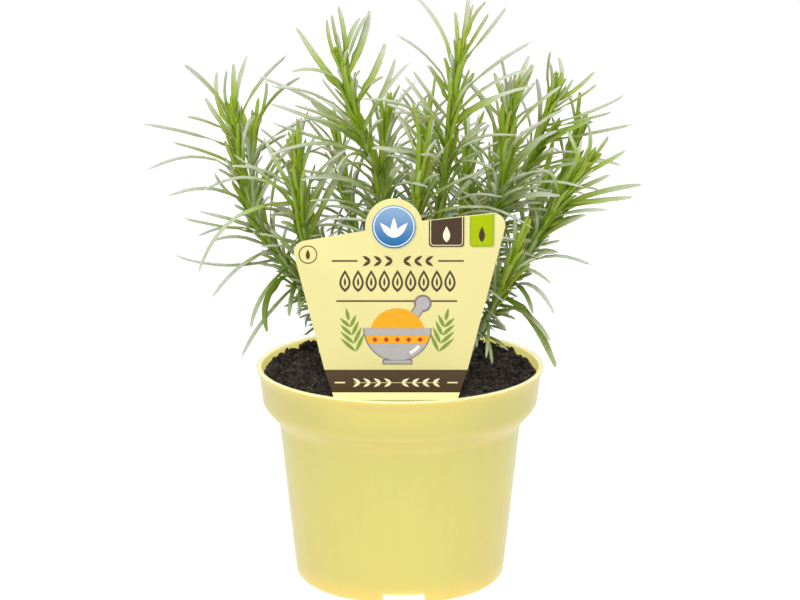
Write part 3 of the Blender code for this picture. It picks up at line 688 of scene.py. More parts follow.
def make_strands(name, draw, count, shares, lengths, radii, lifts, surface):
    """Bent copies of one strand on the soil. Those that would pass the pot's wall are left out."""
    strand = loft("strand", STRAND_SIDES, STRAND_STATIONS)
    strand.data.transform(Matrix.Rotation(math.pi / 2, 4, "Y"))
    rest = [vertex.co.copy() for vertex in strand.data.vertices]
    inside = pot_inner_radius(SOIL_AT_WALL) - AIR
    strands = []
    for _ in range(count):
        x, y = on_soil(draw, *shares)
        length = draw.uniform(*lengths) * MM
        radius = draw.uniform(*radii) * MM
        bow = draw.uniform(-STRAND_BOW, STRAND_BOW) * length
        lift = draw.uniform(*lifts) * length
        angle = draw.uniform(0, math.tau)
        heading = Vector((math.cos(angle), math.sin(angle), 0))
        aside = Vector((-math.sin(angle), math.cos(angle), 0))
        foot = Vector((x, y, soil_height(x, y) + STRAND_CLEARANCE))
        made = copy_of(strand)
        for vertex, place in zip(made.data.vertices, rest):
            t = place.x
            arc = 4 * t * (1 - t)
            centre = foot + heading * (t - 0.5) * length + aside * bow * arc
            centre.z += lift * arc
            vertex.co = centre + aside * place.y * radius * 2 + Vector((0, 0, place.z * radius * 2))
        if all(math.hypot(vertex.co.x, vertex.co.y) < inside for vertex in made.data.vertices):
            strands.append(made)
        else:
            bpy.data.objects.remove(made)
    bpy.data.objects.remove(strand)
    make_loose(name, strands, surface, 60)


for number, (name, kind) in enumerate(STRANDS.items(), 1):
    make_strands(name, random.Random(SOIL_SEED + number), *kind)

# %% [markdown]
# The plant card is a sheet of printed polypropylene, 0.6 mm thick, that tapers down into the soil. It
# is a filled flat curve, made a mesh, with a tiny bevel round its edge where the die cut it.

# %% Card
CARD_THICKNESS = 0.6 * MM
CARD_KINK = 98.9 * MM
CARD_KINK_HALF_WIDTH = 28.6 * MM
CARD_PANEL_TAPER = 0.249
CARD_SPIKE_TAPER = 0.32
CARD_SLANT = math.atan(CARD_PANEL_TAPER)
CARD_FOOT = 34.0 * MM
CARD_FOOT_CUT = 2.0 * MM
CARD_FOOT_CUT_HEIGHT = 5.0 * MM
CARD_LEFT_CORNER = 146.7 * MM
CARD_RIGHT_CORNER = 157.8 * MM
CARD_CORNER_RADIUS = 4.9 * MM
CARD_LEFT_EDGE_TILT = math.radians(9.5)
CARD_RIGHT_EDGE_TILT = math.radians(6.4)
CARD_HEAD_RADIUS = 11.3 * MM
CARD_HEAD_CENTRE = (-2.4 * MM, 157.2 * MM)
CARD_HEAD_START = math.radians(12)
CARD_HEAD_END = math.radians(188)
CARD_YELLOW = (0.700, 0.635, 0.268)
CARD_SHADE = (0.690, 0.620, 0.256)
CARD_BEVEL = 0.12 * MM
CORNER_POINTS = 14
HEAD_POINTS = 49
WELD = 0.000002

card_plastic = Finish("printed_card", CARD_YELLOW, 0.34, subsurface_weight=0.08, subsurface_scale=0.002)
card_plastic.two_tone(60.0, CARD_YELLOW, CARD_SHADE)
card_plastic.gloss(300.0, 0.28, 0.42)
card_plastic.relief(card_plastic.mottle(1400.0), 0.00002)


def card_half_width(height):
    taper = CARD_PANEL_TAPER if height > CARD_KINK else CARD_SPIKE_TAPER
    return CARD_KINK_HALF_WIDTH + taper * (height - CARD_KINK)


def arc_points(centre, radius, start, end, count):
    angles = [start + (end - start) * i / (count - 1) for i in range(count)]
    return [(centre[0] + radius * math.cos(a), centre[1] + radius * math.sin(a)) for a in angles]


def corner_centre(side, height):
    """Centre of an upper corner's arc, left (-1) or right (1), so that the arc meets the card's side."""
    half = card_half_width(height) - CARD_CORNER_RADIUS / math.cos(CARD_SLANT)
    return CARD_CENTRE_X + side * half, height


def card_outline():
    knee = CARD_FOOT + CARD_FOOT_CUT_HEIGHT
    spike = [
        (card_half_width(CARD_FOOT) - CARD_FOOT_CUT, CARD_FOOT), (card_half_width(knee), knee),
        (CARD_KINK_HALF_WIDTH, CARD_KINK),
    ]
    right, left = corner_centre(1, CARD_RIGHT_CORNER), corner_centre(-1, CARD_LEFT_CORNER)
    right_edge = math.pi / 2 + CARD_RIGHT_EDGE_TILT
    left_edge = math.pi / 2 + CARD_LEFT_EDGE_TILT
    points = [(CARD_CENTRE_X + half, height) for half, height in spike]
    points += arc_points(right, CARD_CORNER_RADIUS, -CARD_SLANT, right_edge, CORNER_POINTS)
    points += arc_points(CARD_HEAD_CENTRE, CARD_HEAD_RADIUS, CARD_HEAD_START, CARD_HEAD_END, HEAD_POINTS)
    points += arc_points(left, CARD_CORNER_RADIUS, left_edge, math.pi + CARD_SLANT, CORNER_POINTS)
    points += [(CARD_CENTRE_X - half, height) for half, height in reversed(spike)]
    return points


def flat_piece(name, outlines, front, thickness):
    """Closed outlines in X and Z, filled and made a mesh whose front face is at that Y."""
    curve = bpy.data.curves.new(name, "CURVE")
    curve.dimensions = "2D"
    curve.fill_mode = "BOTH"
    curve.extrude = thickness / 2
    for outline in outlines:
        spline = curve.splines.new("POLY")
        spline.points.add(len(outline) - 1)
        for point, (x, z) in zip(spline.points, outline):
            point.co = (x, z, 0, 1)
        spline.use_cyclic_u = True
    obj = bpy.data.objects.new(name, curve)
    bpy.context.collection.objects.link(obj)
    obj.rotation_euler = (math.pi / 2, 0, 0)
    obj.location = (0, front + thickness / 2, 0)
    select_only(obj)
    bpy.ops.object.convert(target="MESH")
    settle(obj)
    bpy.ops.object.mode_set(mode="EDIT")
    bpy.ops.mesh.select_all(action="SELECT")
    bpy.ops.mesh.remove_doubles(threshold=WELD)
    bpy.ops.mesh.normals_make_consistent(inside=False)
    bpy.ops.object.mode_set(mode="OBJECT")
    return obj


def make_card():
    card = flat_piece("herb_card", [card_outline()], CARD_Y, CARD_THICKNESS)
    edge = card.modifiers.new("edge", "BEVEL")
    edge.width = CARD_BEVEL
    edge.segments = 2
    edge.angle_limit = math.radians(60)
    bpy.ops.object.modifier_apply(modifier="edge")
    smooth(card, 30)
    paint(card, card_plastic.material)
    finish_piece(card, "card_plastic", "plant_card")


make_card()

# %% [markdown]
# The card's print is a set of thin ink films, each a flat curve a few hundredths of a millimetre thick.
# It is a design of its own: a bowl of spices between two sprigs under a frieze of leaves, with plain
# rules, two tabs and a disc with three leaves. A picture mapped on the card would need an image file,
# and flat curves need none. Outlines that overlap in one film cancel out, so they go in films of their
# own.

# %% Inks
INK_FILM = 0.03 * MM
INK_COLOURS = {
    "brown": (0.085, 0.054, 0.030),
    "deep_brown": (0.068, 0.042, 0.025),
    "green": (0.36, 0.46, 0.0005),
    "blue": (0.022, 0.145, 0.35),
    "white": (0.90, 0.88, 0.80),
    "cream": (0.93, 0.87, 0.55),
    "shade": (0.60, 0.53, 0.25),
    "grey": (0.42, 0.40, 0.39),
    "dark_grey": (0.21, 0.19, 0.18),
    "ochre": (0.80, 0.37, 0.02),
    "red": (0.50, 0.035, 0.03),
    "leaf_green": (0.20, 0.30, 0.05),
    # painted light: a pale strip, brighter than the card, where the lip's shade falls
    "pale_yellow": (0.98, 0.90, 0.42),
}
INK_PAINTED_GLOW = {"pale_yellow": 0.34}  # painted light: a glow on the strip behind the lip, which the lip would shade too much
INK_PATCHES = 0.90  # how dark the darker patches are
SKY_BLUE = (0.225, 0.36, 0.54)
DISC_FOOT = 149.0 * MM
DISC_TOP = 166.0 * MM


def ink_finish(name):
    """An ink with slight mottling in colour and gloss. The blue one pales towards the disc's top."""
    colour = INK_COLOURS[name]
    # painted light: the pale strip's ink glows a little, against the lip's shade
    glow = INK_PAINTED_GLOW.get(name, 0.0)
    ink = Finish("ink_" + name, colour, 0.45, specular_ior_level=0.1, emission_strength=glow)
    ink.shader.inputs["Emission Color"].default_value = (*colour, 1)
    surface = ink.mix(ink.mottle(500.0), colour, tuple(channel * INK_PATCHES for channel in colour))
    if name == "blue":
        surface = ink.mix(ink.ramp(ink.height(), DISC_FOOT, DISC_TOP), surface, SKY_BLUE)
    ink.link(surface, "Base Color")
    ink.gloss(300.0, 0.36, 0.50)
    return ink.material


def print_ink(colour, layer, outlines):
    """A film of one ink, from outlines in mm. Each layer lies a film's thickness in front of the last."""
    front = CARD_Y - INK_FILM * layer
    in_metres = [[(x * MM, z * MM) for x, z in outline] for outline in outlines]
    film = flat_piece(f"print_{colour}_{layer}", in_metres, front, INK_FILM)
    paint(film, bpy.data.materials.get("ink_" + colour) or ink_finish(colour))
    finish_piece(film, "card_plastic")


print(len(INK_COLOURS), "ink colours")

# %% [markdown]
# Every motif is put together from a few plain outlines in mm: a box, a disc, a ring, a pointed leaf and
# a tab that hangs from the card's upper edge. An outline is a list of points, so one short helper for
# each is enough.

# %% Outlines


def box(left, foot, right, top):
    return [(left, foot), (right, foot), (right, top), (left, top)]


def disc(x, z, radius, count=48):
    return arc_points((x, z), radius, 0, math.tau * (1 - 1 / count), count)


def band_between(x, z, inner, outer, start=0.0, end=math.tau, count=40):
    """A ring, or a part of one between two angles, as a closed outline."""
    if end - start >= math.tau:
        return [disc(x, z, outer), list(reversed(disc(x, z, inner)))]
    return [arc_points((x, z), outer, start, end, count) + arc_points((x, z), inner, end, start, count)]


def leaf_shape(x, z, length, width, angle, count=9):
    """A pointed leaf from its root at (x, z), leaning by the angle from upright."""
    points = []
    for side in (1, -1):
        for i in range(count):
            t = i / count if side == 1 else 1 - i / count
            bulge = side * width / 2 * math.sin(math.pi * t**0.8)
            points.append((
                x + length * t * math.sin(angle) + bulge * math.cos(angle),
                z + length * t * math.cos(angle) - bulge * math.sin(angle),
            ))
    return points


def upper_edge(x):
    """Height (mm) of the card's upper edge between its head and its right corner, under the bevel."""
    corner_x, corner_z = corner_centre(1, CARD_RIGHT_CORNER)
    corner_z += CARD_CORNER_RADIUS * math.cos(CARD_RIGHT_EDGE_TILT)
    start_z = CARD_HEAD_CENTRE[1] + CARD_HEAD_RADIUS * math.sin(CARD_HEAD_START)
    start_x = CARD_HEAD_CENTRE[0] + CARD_HEAD_RADIUS * math.cos(CARD_HEAD_START)
    share = min(1.0, (x * MM - start_x) / (corner_x - start_x))
    return (start_z + (corner_z - start_z) * share) / MM - 0.2


def hanging_tab(left, right, foot, corner, inset=0.0):
    """A tab that hangs from the card's upper edge, with two round corners at its foot."""
    left, right, foot = left + inset, right - inset, foot + inset
    points = arc_points((left + corner, foot + corner), corner, math.pi, 1.5 * math.pi, 6)
    points += arc_points((right - corner, foot + corner), corner, 1.5 * math.pi, math.tau, 6)
    return [(left, upper_edge(left)), *points, (right, upper_edge(right))]


def tab_line(left, right, foot, corner, inset, width):
    """A thin line that follows the tab's sides and foot inside its edge."""
    outer = hanging_tab(left, right, foot, corner, inset)
    inner = hanging_tab(left, right, foot, corner - width, inset + width)
    return outer + list(reversed(inner))


print("a leaf's outline has", len(leaf_shape(0, 0, 1, 1, 0)), "points")

# %% [markdown]
# The motifs are a garland on the brown band, a frieze of leaves between rules, two sprigs, and a bowl
# with its pestle. Each is one outline placed again and again.

# %% Motifs
STRIP_FOOT = 86.5
BAND_FOOT = 89.5
BAND_TOP = 98.9
BROWN_TAB = (11.4, 25.3, 149.1, 1.3)
GREEN_TAB = (27.5, 37.1, 149.1, 1.3)
TAB_SIDES_TO = 155  # lower than the tabs' upper edge
RULES = ((-27.0, -16.8, 143.1), (15.1, 25.2, 143.1), (-25.3, 22.7, 126.8))
BOWL_X = -1.0
BOWL_FOOT = 101.6
BOWL_RADIUS = 13.2
BOWL_RIM = 116.0


def band_outline(foot, top):
    """A band across the card between two levels, out to its very edges."""
    corners = []
    for level, side in ((foot, -1), (foot, 1), (top, 1), (top, -1)):
        half = card_half_width(level * MM) / MM - 0.02
        corners.append((CARD_CENTRE_X / MM + side * half, level))
    return corners


def garland(left, right, z, pairs, length, width, spread):
    """A level stalk with pairs of leaves that point away from its middle."""
    middle = (left + right) / 2
    shapes = []
    for i in range(pairs):
        x = left + (right - left) * (i + 0.5) / pairs
        heading = 1 if x > middle else -1
        for side in (1, -1):
            shapes.append(leaf_shape(x, z, length, width, heading * math.radians(90 - side * spread)))
    return shapes


def sprig(x, z, length, lean, pairs):
    """Narrow leaves in pairs up a leaning stalk, and one at its top."""
    shapes = []
    for i in range(pairs):
        along = length * (0.16 + 0.74 * i / pairs)
        size = length * (0.46 - 0.20 * i / pairs)
        root = (x + along * math.sin(lean), z + along * math.cos(lean))
        for side in (1, -1):
            shapes.append(leaf_shape(*root, size, 1.5, lean + side * math.radians(36)))
    top = length * 0.86
    shapes.append(leaf_shape(x + top * math.sin(lean), z + top * math.cos(lean), 5.5, 1.5, lean))
    return shapes


def bowl(grow):
    """The bowl's cup and its foot, grown by a line's width."""
    cup = arc_points((BOWL_X, BOWL_RIM), BOWL_RADIUS + grow, math.pi, math.tau, 31)
    cup = [(x, max(z, BOWL_FOOT + 1.4 - grow)) for x, z in cup]
    foot = box(BOWL_X - 5.5 - grow, BOWL_FOOT - grow, BOWL_X + 5.5 + grow, BOWL_FOOT + 1.2 + grow)
    return [cup, foot]


def pestle(width):
    """A rod that leans out of the bowl to the right, with a round head, as one outline."""
    lean, length = math.radians(34), 13.5
    head = width * 0.85
    meets = math.asin(width / 2 / head)  # where the rod's sides meet the head
    points = [(-width / 2, 0.0), (width / 2, 0.0)]
    points += arc_points((0.0, length), head, meets - math.pi / 2, 1.5 * math.pi - meets, 21)
    foot_x, foot_z = BOWL_X + 2.5, BOWL_RIM - 1.0
    across, up = math.sin(lean), math.cos(lean)
    return [(foot_x + x * up + z * across, foot_z - x * across + z * up) for x, z in points]


def frieze(left, right, foot, count, height, width, line):
    """A row of upright leaves, each drawn as an outline with a solid heart."""
    shapes = []
    for i in range(count):
        x = left + (right - left) * (i + 0.5) / count
        shapes.append(leaf_shape(x, foot, height, width, 0.0))
        shapes.append(leaf_shape(x, foot + 1.6 * line, height - 3.6 * line, width - 2.2 * line, 0.0))
        shapes.append(leaf_shape(x, foot + 3.2 * line, height * 0.4, width * 0.2, 0.0))
    return shapes


def dropped_shadow(tab):
    """A tab's outline, moved right and down, but not along the card's upper edge."""
    return [(x + 0.45, z - 0.45 if z < TAB_SIDES_TO else z) for x, z in hanging_tab(*tab)]


print("bowl", 2 * BOWL_RADIUS, "mm wide")

# %% [markdown]
# Films that lie over each other go in layers, from the lowest ink to the highest. The panels come first
# and then the picture, as a printer would build them up.

# %% Print the card


def print_panels():
    """The rules, tabs and disc, with the leaves on them."""
    x0, z0 = CARD_HEAD_CENTRE[0] / MM, CARD_HEAD_CENTRE[1] / MM
    shadows = [dropped_shadow(BROWN_TAB), dropped_shadow(GREEN_TAB), disc(x0 + 0.3, z0 - 0.4, 8.9)]
    rules = [box(left, foot, right, foot + 0.65) for left, right, foot in RULES]
    mark = band_between(-36.4, 146, 3.3, 3.7) + [leaf_shape(-36.4, 143.9, 4.2, 1.7, 0.0)]
    # painted light: a pale, glowing strip at the card's foot, behind the lip, where its shade falls
    print_ink("pale_yellow", 1, [band_outline(STRIP_FOOT, BAND_FOOT)])
    print_ink("shade", 1, shadows)
    print_ink("brown", 2, [band_outline(BAND_FOOT, BAND_TOP), *rules, *mark])
    print_ink("deep_brown", 2, [hanging_tab(*BROWN_TAB)])
    print_ink("brown", 3, frieze(-24.4, 22.4, 130.8, 9, 9.0, 4.5, 0.75))
    print_ink("brown", 4, garland(-13.8, 12.2, 143.4, 6, 3.8, 1.35, 34))
    print_ink("green", 2, [hanging_tab(*GREEN_TAB)])
    print_ink("leaf_green", 3, [tab_line(*GREEN_TAB, 0.25, 0.25)])
    print_ink("cream", 3, [tab_line(*BROWN_TAB, 0.55, 0.25), leaf_shape(18.35, 151.0, 6.4, 2.8, 0.0)])
    print_ink("deep_brown", 3, [leaf_shape(32.3, 151.0, 6.4, 2.4, 0.0)])
    print_ink("blue", 2, [disc(x0, z0, 8.7)])
    print_ink("white", 3, band_between(x0, z0, 7.75, 8.1))
    fan = [leaf_shape(x0, z0 - 4.4, 8.2, 2.6, math.radians(lean)) for lean in (-42, 0, 42)]
    print_ink("white", 4, fan[1:2])
    print_ink("white", 5, [fan[0], fan[2]])


def print_picture():
    """The band's garland, and the bowl of spices between its sprigs."""
    dashes = [box(-26.2, 93.35, -21.9, 93.9), box(18.9, 93.35, 23.1, 93.9)]
    print_ink("cream", 4, dashes + garland(-18.0, 15.2, 93.6, 8, 3.4, 1.1, 32))
    print_ink("cream", 5, [box(-18.5, 93.5, 15.7, 93.7)])
    for layer, x, lean in ((1, -17.0, -12), (2, 14.8, 12)):
        print_ink("leaf_green", layer, sprig(x, 103.5, 18.5, math.radians(lean), 4))
    print_ink("dark_grey", 3, [pestle(4.2)])
    print_ink("grey", 4, [pestle(3.2)])
    heap = arc_points((BOWL_X, BOWL_RIM - 2.8), 11.0, math.radians(14), math.radians(166), 21)
    print_ink("ochre", 5, [heap])
    for colour, layer, grow in (("dark_grey", 6, 0.45), ("grey", 8, 0.0)):
        cup, foot = bowl(grow)
        print_ink(colour, layer, [cup])
        print_ink(colour, layer + 1, [foot])
    trim = []
    for start, end in ((-13, -28), (208, 193)):
        centre, radius = (BOWL_X, BOWL_RIM), BOWL_RADIUS - 0.1
        trim += arc_points(centre, radius, math.radians(start), math.radians(end), 6)
    print_ink("ochre", 10, [trim])
    print_ink("red", 11, [disc(BOWL_X + dx, BOWL_RIM - 4.6, 1.1, 4) for dx in (-9, -4.5, 0, 4.5, 9)])
    start, end = math.radians(-64), math.radians(-40)
    print_ink("white", 10, band_between(BOWL_X, BOWL_RIM, 10.6, 11.8, start, end, 12))


print_panels()
print_picture()

# %% [markdown]
# A curry plant's shoot is a stem that carries leaves at the golden angle, a sunflower's angle, so no
# two leaves lie straight above each other. The list says where each stem passes and where the longest
# leaves end, and the leaves between them are grown by rule, each only where it finds room. These are
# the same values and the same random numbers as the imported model's, so each blade lies on its solid.

# %% Where the stems and leaves go
STEM_RADIUS_FOOT = 1.6 * MM
STEM_RADIUS_TIP = 0.8 * MM
STEM_FOOT = 74.0 * MM
STEM_STRAIGHT_TO = 91.0 * MM  # a rooted stem is upright up to here
STEM_SAMPLE = 2.5 * MM
LEAF_LENGTH = 38.0 * MM
LEAF_WIDTH = 2.8 * MM
LEAF_THICKNESS = 0.95 * MM
LEAF_STEPS = 12
GOLDEN_ANGLE = math.radians(137.5)
CROWDING = 1.15  # above 1 the leaves crowd towards the shoot's tip
LEAN_AT_TIP = math.radians(12)  # angle between a shoot's youngest leaves and its stem
LEAN_AT_FOOT = math.radians(78)
LENGTH_AT_TIP = 0.62  # length as a share of LEAF_LENGTH
LENGTH_GAIN_AT_FOOT = 0.2
LENGTH_GAIN_IN_MIDDLE = 1.5
LONG_LEAF = 36.0 * MM
REACHING_ATTEMPTS = 14
DEPTH_SEARCH = 1.6  # mm in depth for each attempt at a measured tip
ATTEMPTS = 16
FULL_LENGTH_ATTEMPTS = 10
SHORTENED = 0.72
TURN_SEARCH = (math.radians(10), math.radians(5))  # at the first attempt, and more for each later one
ROOM_TO_OTHER_PLANT = 3.9 * MM
ROOM_IN_SAME_PLANT = 2.7 * MM
ROOM_TO_CARD = 3.4 * MM
ROOM_OVER_SOIL = 94.0 * MM
ROOM_ROUND_LIP = 63.5 * MM
REACH_IN_DEPTH = 60.5 * MM  # no leaf goes further forward or back than this
REACH_TO_SIDES = 101.0 * MM
FREE_ROOT_STEPS = 4  # path steps near the root that may touch the same plant
LEAN_CURVE = 0.7  # an exponent: below 1 the lean grows most near the shoot's tip
GROWN_LENGTHS = (0.84, 1.10)
GROWN_LEANS = (-9, 12)  # degrees
GROWN_DROOPS = (0.0, 0.4)
GROWN_ARCHES = (0.6, 1.15)
REACHING_ARCHES = (0.7, 1.1)
# Where a leaf's arc bends, up its stem and on the way to its tip, as shares of its length. The second
# value of each is added for a leaf at a right angle to its stem
BEND_UP = (0.46, -0.14)
BEND_OUT = (0.15, 0.22)

# A shoot: the height (mm) where it leaves the rooted stem, the points that its stem passes (mm), the
# length below its leaves (mm), its number of leaves, their seed, and its reaching leaves: the tip's x,
# y and z and the root's height (mm). A blade may then keep a bow of its own, in mm to the left of its
# way to the tip as the camera sees it, a roll in degrees, which turns its face to the camera, and
# shares of the usual width and of the usual felt
Shoot = namedtuple("Shoot", "parent_at passes bare leaf_count seed reaches", defaults=((),))

PLANTS = {
    "curry_plant_left": [
        Shoot(None, [
            (-17, 1, 91), (-28, 0, 108), (-46, -2, 132), (-61, -5, 158), (-67, -8, 194),
        ], 34, 24, 210, [
            (-85, -25, 219, 192, -1.9), (-74, -3, 213, 189, 3.5, 20), (-69, -15, 216, 195, 2.5, 40),
            (-67, -7, 217, 196), (-62, 1, 219, 197, 1.4, 40), (-45, 2, 220, 190, 3.5),
            (-84, -30, 199, 186, -1.4, 20), (-100, -42, 198, 181, -1.0), (-91, -24, 188, 173, -0.9, 35),
            (-101, -42, 180, 169), (-80, 8, 201, 185, 0.4, 30), (-94, -14, 164, 159, None, 35),
            (-74, -26, 176, 159, 2.3, 50), (-87, -24, 157, 147, 0.5, 20), (-83, 6, 154, 148, -0.5, 20),
            (-83, -8, 146, 145, None, 0, 1.0, 1.3), (-79, 10, 140, 139), (-91, -24, 142, 136, 4.1, 30),
            (-76, -22, 124, 140, -2.6, 40, 1.0, 1.5), (-61, -16, 110, 133, -2.5, 40, 1.0, 1.2),
            (-54, -24, 110, 130, -4.9, 65, 1.2, 0.5), (-65, -14, 97, 126, -2.0, 20, 1.0, 1.3),
        ]),
        Shoot(104, [(-36, -12, 130), (-40, -19, 157), (-41, -22, 180)], 10, 16, 862, [
            (-41, -24, 198, 173, None, 30), (-40, -16, 195, 170, None, 30), (-54, -26, 190, 165, 1.2, 60),
            (-34, -18, 190, 170), (-80, -20, 167, 162, -8.3, 30, 0.75, 1.3),
            (-80, -38, 138, 162, -9.5, 30, 0.9, 1.6),
        ]),
        Shoot(148, [(-61, 8, 167), (-60, 14, 189)], 8, 12, 93, [
            (-55, 14, 207, 189, -1.4, 60, 1.5), (-41, 10, 209, 186),
        ]),
    ],
    "curry_plant_mid_left": [
        Shoot(None, [
            (-3, -3, 91), (-4, -8, 125), (-8, -13, 167), (-16, -17, 192), (-23, -20, 218),
        ], 24, 26, 4, [
            (-29, -14, 236, 216, 1.7, 40), (-27, -22, 239, 215, None, 55), (-24, -28, 243, 215),
            (-16, -12, 236, 214, 2.6, 40), (-12, -22, 240, 213, -1.1, 70, 1.45),
            (-41, -20, 233, 204, 1.3, 75, 1.3), (-6, -14, 226, 201, -1.0, 60, 1.4),
            (-6, -28, 215, 200, None, 30), (-43, -24, 216, 203, -5.6, 30), (-31, -32, 215, 194, 0.2, 60),
            (-52, -24, 210, 193), (-57, -14, 213, 188, -3.2, 20), (-42, -32, 204, 188, -1.8, 40),
            (-36, -8, 202, 184, 0.3, 60), (-51, -20, 195, 181, 0.0, 20), (-52, -28, 184, 177, None, 40),
            (4, -18, 219, 189, 2.1, 50), (-2, -8, 219, 192, -1.4, 30), (-52, -4, 201, 186, -0.6, 20),
        ]),
        Shoot(104, [(-5, 8, 130), (-7, 18, 158), (-6, 24, 184)], 16, 20, 5, [
            (0, 24, 204, 184), (7, 30, 204, 181), (9, 32, 190, 177),
        ]),
        Shoot(100, [(-12, 16, 122), (-20, 33, 146), (-26, 46, 172)], 14, 18, 879),
    ],
    "curry_plant_mid_right": [
        Shoot(None, [
            (8, -5, 91), (13, -10, 125), (17, -17, 165), (20, -23, 196), (24, -26, 223),
        ], 24, 24, 393, [
            (6, -24, 246, 208, -4.1, 40), (-2, -32, 232, 204, -4.4, 20), (11, -18, 218, 201, -0.3, 30),
            (5, -36, 218, 196, 0.0, 30), (2, -22, 214, 191, 0.6, 30), (27, -27, 247, 224, None, 50),
            (29, -19, 242, 221, None, 60), (33, -34, 246, 224), (35, -22, 240, 220, 0.0, 30),
            (42, -30, 243, 219), (53, -20, 228, 203, 2.1), (-15, -30, 206, 185), (-5, -36, 205, 178),
            (-11, -38, 188, 174, -2.6, 50),
        ]),
        Shoot(106, [(5, -18, 135), (6, -27, 158), (8, -32, 176)], 14, 16, 663),
        Shoot(101, [(18, 6, 125), (25, 13, 149), (28, 16, 171)], 12, 20, 9),
    ],
    "curry_plant_right": [
        Shoot(None, [
            (19, 2, 91), (28, -2, 125), (39, -7, 160), (42, -10, 182), (44, -12, 200),
        ], 24, 22, 10, [
            (38, -6, 213, 192, 0.4, 30), (40, -18, 222, 195, None, 20), (45, -12, 214, 199, None, 60),
            (52, -6, 220, 196), (53, -16, 217, 198, 0.9, 60), (22, -22, 217, 187, 0.0, 50),
            (54, -22, 212, 195, 0.4, 50),
        ]),
        Shoot(101, [(33, 5, 130), (46, 9, 158), (55, 13, 177), (62, 16, 197)], 14, 18, 858, [
            (62, 14, 220, 198, 1.0, 60), (66, 22, 215, 198, -2.8, 40), (71, 12, 208, 194, -1.0, 20),
            (81, 20, 210, 193, -1.2, 50), (80, 8, 207, 192, -1.0, 30), (93, 16, 201, 188, -1.5, 20),
            (87, 8, 195, 186, 0.0, 25), (79, 2, 192, 184, 0.0, 65, 0.9, 0.7),
            (97, 20, 188, 181, -0.5, 15), (85, -2, 176, 165, 2.7, 40), (91, 6, 173, 164, 5.0, 30),
        ]),
    ],
    "curry_plant_far_right": [
        Shoot(None, [
            (27, -8, 91), (37, -10, 116), (53, -12, 141), (65, -16, 163), (75, -18, 177),
        ], 14, 12, 12, [
            (76, -14, 192, 176, -0.8, 30), (83, -22, 190, 174, None, 40), (91, -10, 182, 172, 0.5, 20),
            (85, -16, 172, 165, 0.2, 20), (100, 12, 164, 160, 2.7, 15), (93, -26, 166, 161, 0.1, 40),
            (84, -10, 161, 157, 2.0, 30), (83, -28, 161, 155, 1.3, 40), (75, -18, 157, 150, 1.1, 50),
            (64, -20, 142, 139, None, 40), (78, -28, 138, 128, 7.0, 20), (61, -24, 130, 124, 7.5, 40),
            (62, -30, 119, 122, 8.0, 40, 1.0, 1.2), (64, -16, 93, 122, None, 65, 1.3, 0.6),
            (61, -24, 106, 119, 4.2, 30),
        ]),
        Shoot(99, [(40, 2, 116), (51, 10, 133), (64, 19, 156), (73, 26, 180)], 12, 20, 365),
        Shoot(102, [(37, -18, 117), (41, -23, 128), (45, -26, 140)], 4, 7, 280),
    ],
    "curry_plant_back": [
        Shoot(None, [(3, 14, 91), (6, 28, 118), (9, 42, 150), (11, 52, 180)], 18, 24, 596),
        Shoot(101, [(-5, 30, 112), (-8, 42, 128), (-7, 52, 148)], 8, 14, 118),
    ],
    "curry_plant_back_right": [
        Shoot(None, [(17, 15, 91), (26, 27, 118), (35, 39, 146), (43, 48, 176)], 18, 22, 669),
        Shoot(100, [(34, 24, 113), (50, 33, 130), (60, 41, 154)], 10, 16, 107),
    ],
    "curry_plant_back_left": [
        Shoot(None, [(-12, 13, 91), (-22, 24, 112), (-36, 37, 138), (-44, 46, 166)], 16, 22, 428),
        Shoot(99, [(-30, 18, 110), (-48, 26, 126), (-60, 30, 150)], 8, 18, 143),
    ],
}
print(len(PLANTS), "plants with", sum(len(shoots) for shoots in PLANTS.values()), "shoots")

# %% [markdown]
# A stem is a smooth curve through its measured points. A rooted one rises upright from the soil, and a
# side shoot leaves its rooted stem along it.

# %% Stems


def spline_points(points, first_direction):
    """A smooth curve through the points, sampled about every STEM_SAMPLE."""
    before = points[0] - first_direction.normalized() * (points[1] - points[0]).length
    after = points[-1] + (points[-1] - points[-2])
    chain = [before, *points, after]
    samples = []
    for a, b, c, d in zip(chain, chain[1:], chain[2:], chain[3:]):
        steps = max(2, round((c - b).length / STEM_SAMPLE))
        for i in range(steps):
            t = i / steps
            bend = (2 * a - 5 * b + 4 * c - d) * t**2 + (3 * b - a - 3 * c + d) * t**3
            samples.append((2 * b + (c - a) * t + bend) / 2)
    samples.append(points[-1].copy())
    return samples


def nearest_to(path, height):
    """Number of the path point nearest to a height in mm."""
    return min(range(1, len(path)), key=lambda i: abs(path[i].z - height * MM))


def way_at(path, at):
    return (path[at] - path[at - 1]).normalized()


def outward_of(along, turn):
    """The way out of a stem, turned about it."""
    return Matrix.Rotation(turn, 3, along) @ along.orthogonal().normalized()


def stem_path(shoot, parent_path):
    """The points along a shoot's stem, from its foot in the soil or from its parent's middle."""
    passes = [Vector(point) * MM for point in shoot.passes]
    if parent_path is None:
        foot = Vector((passes[0].x, passes[0].y, STEM_FOOT))
        below = Vector((passes[0].x, passes[0].y, (STEM_FOOT + STEM_STRAIGHT_TO) / 2))
        return [foot, below, *spline_points(passes, Vector((0.0, 0.0, 1.0)))]
    start = nearest_to(parent_path, shoot.parent_at)
    along = parent_path[start] - parent_path[start - 1]
    return spline_points([parent_path[start], *passes], along)


def stem_radius(share):
    return STEM_RADIUS_FOOT + (STEM_RADIUS_TIP - STEM_RADIUS_FOOT) * share


def stem_paths():
    """Each plant's stem paths, the rooted one first."""
    paths = {}
    for plant, shoots in PLANTS.items():
        rooted = stem_path(shoots[0], None)
        paths[plant] = [rooted] + [stem_path(shoot, rooted) for shoot in shoots[1:]]
    return paths


PATHS = stem_paths()
print("stem points:", {plant: sum(map(len, plant_paths)) for plant, plant_paths in PATHS.items()})

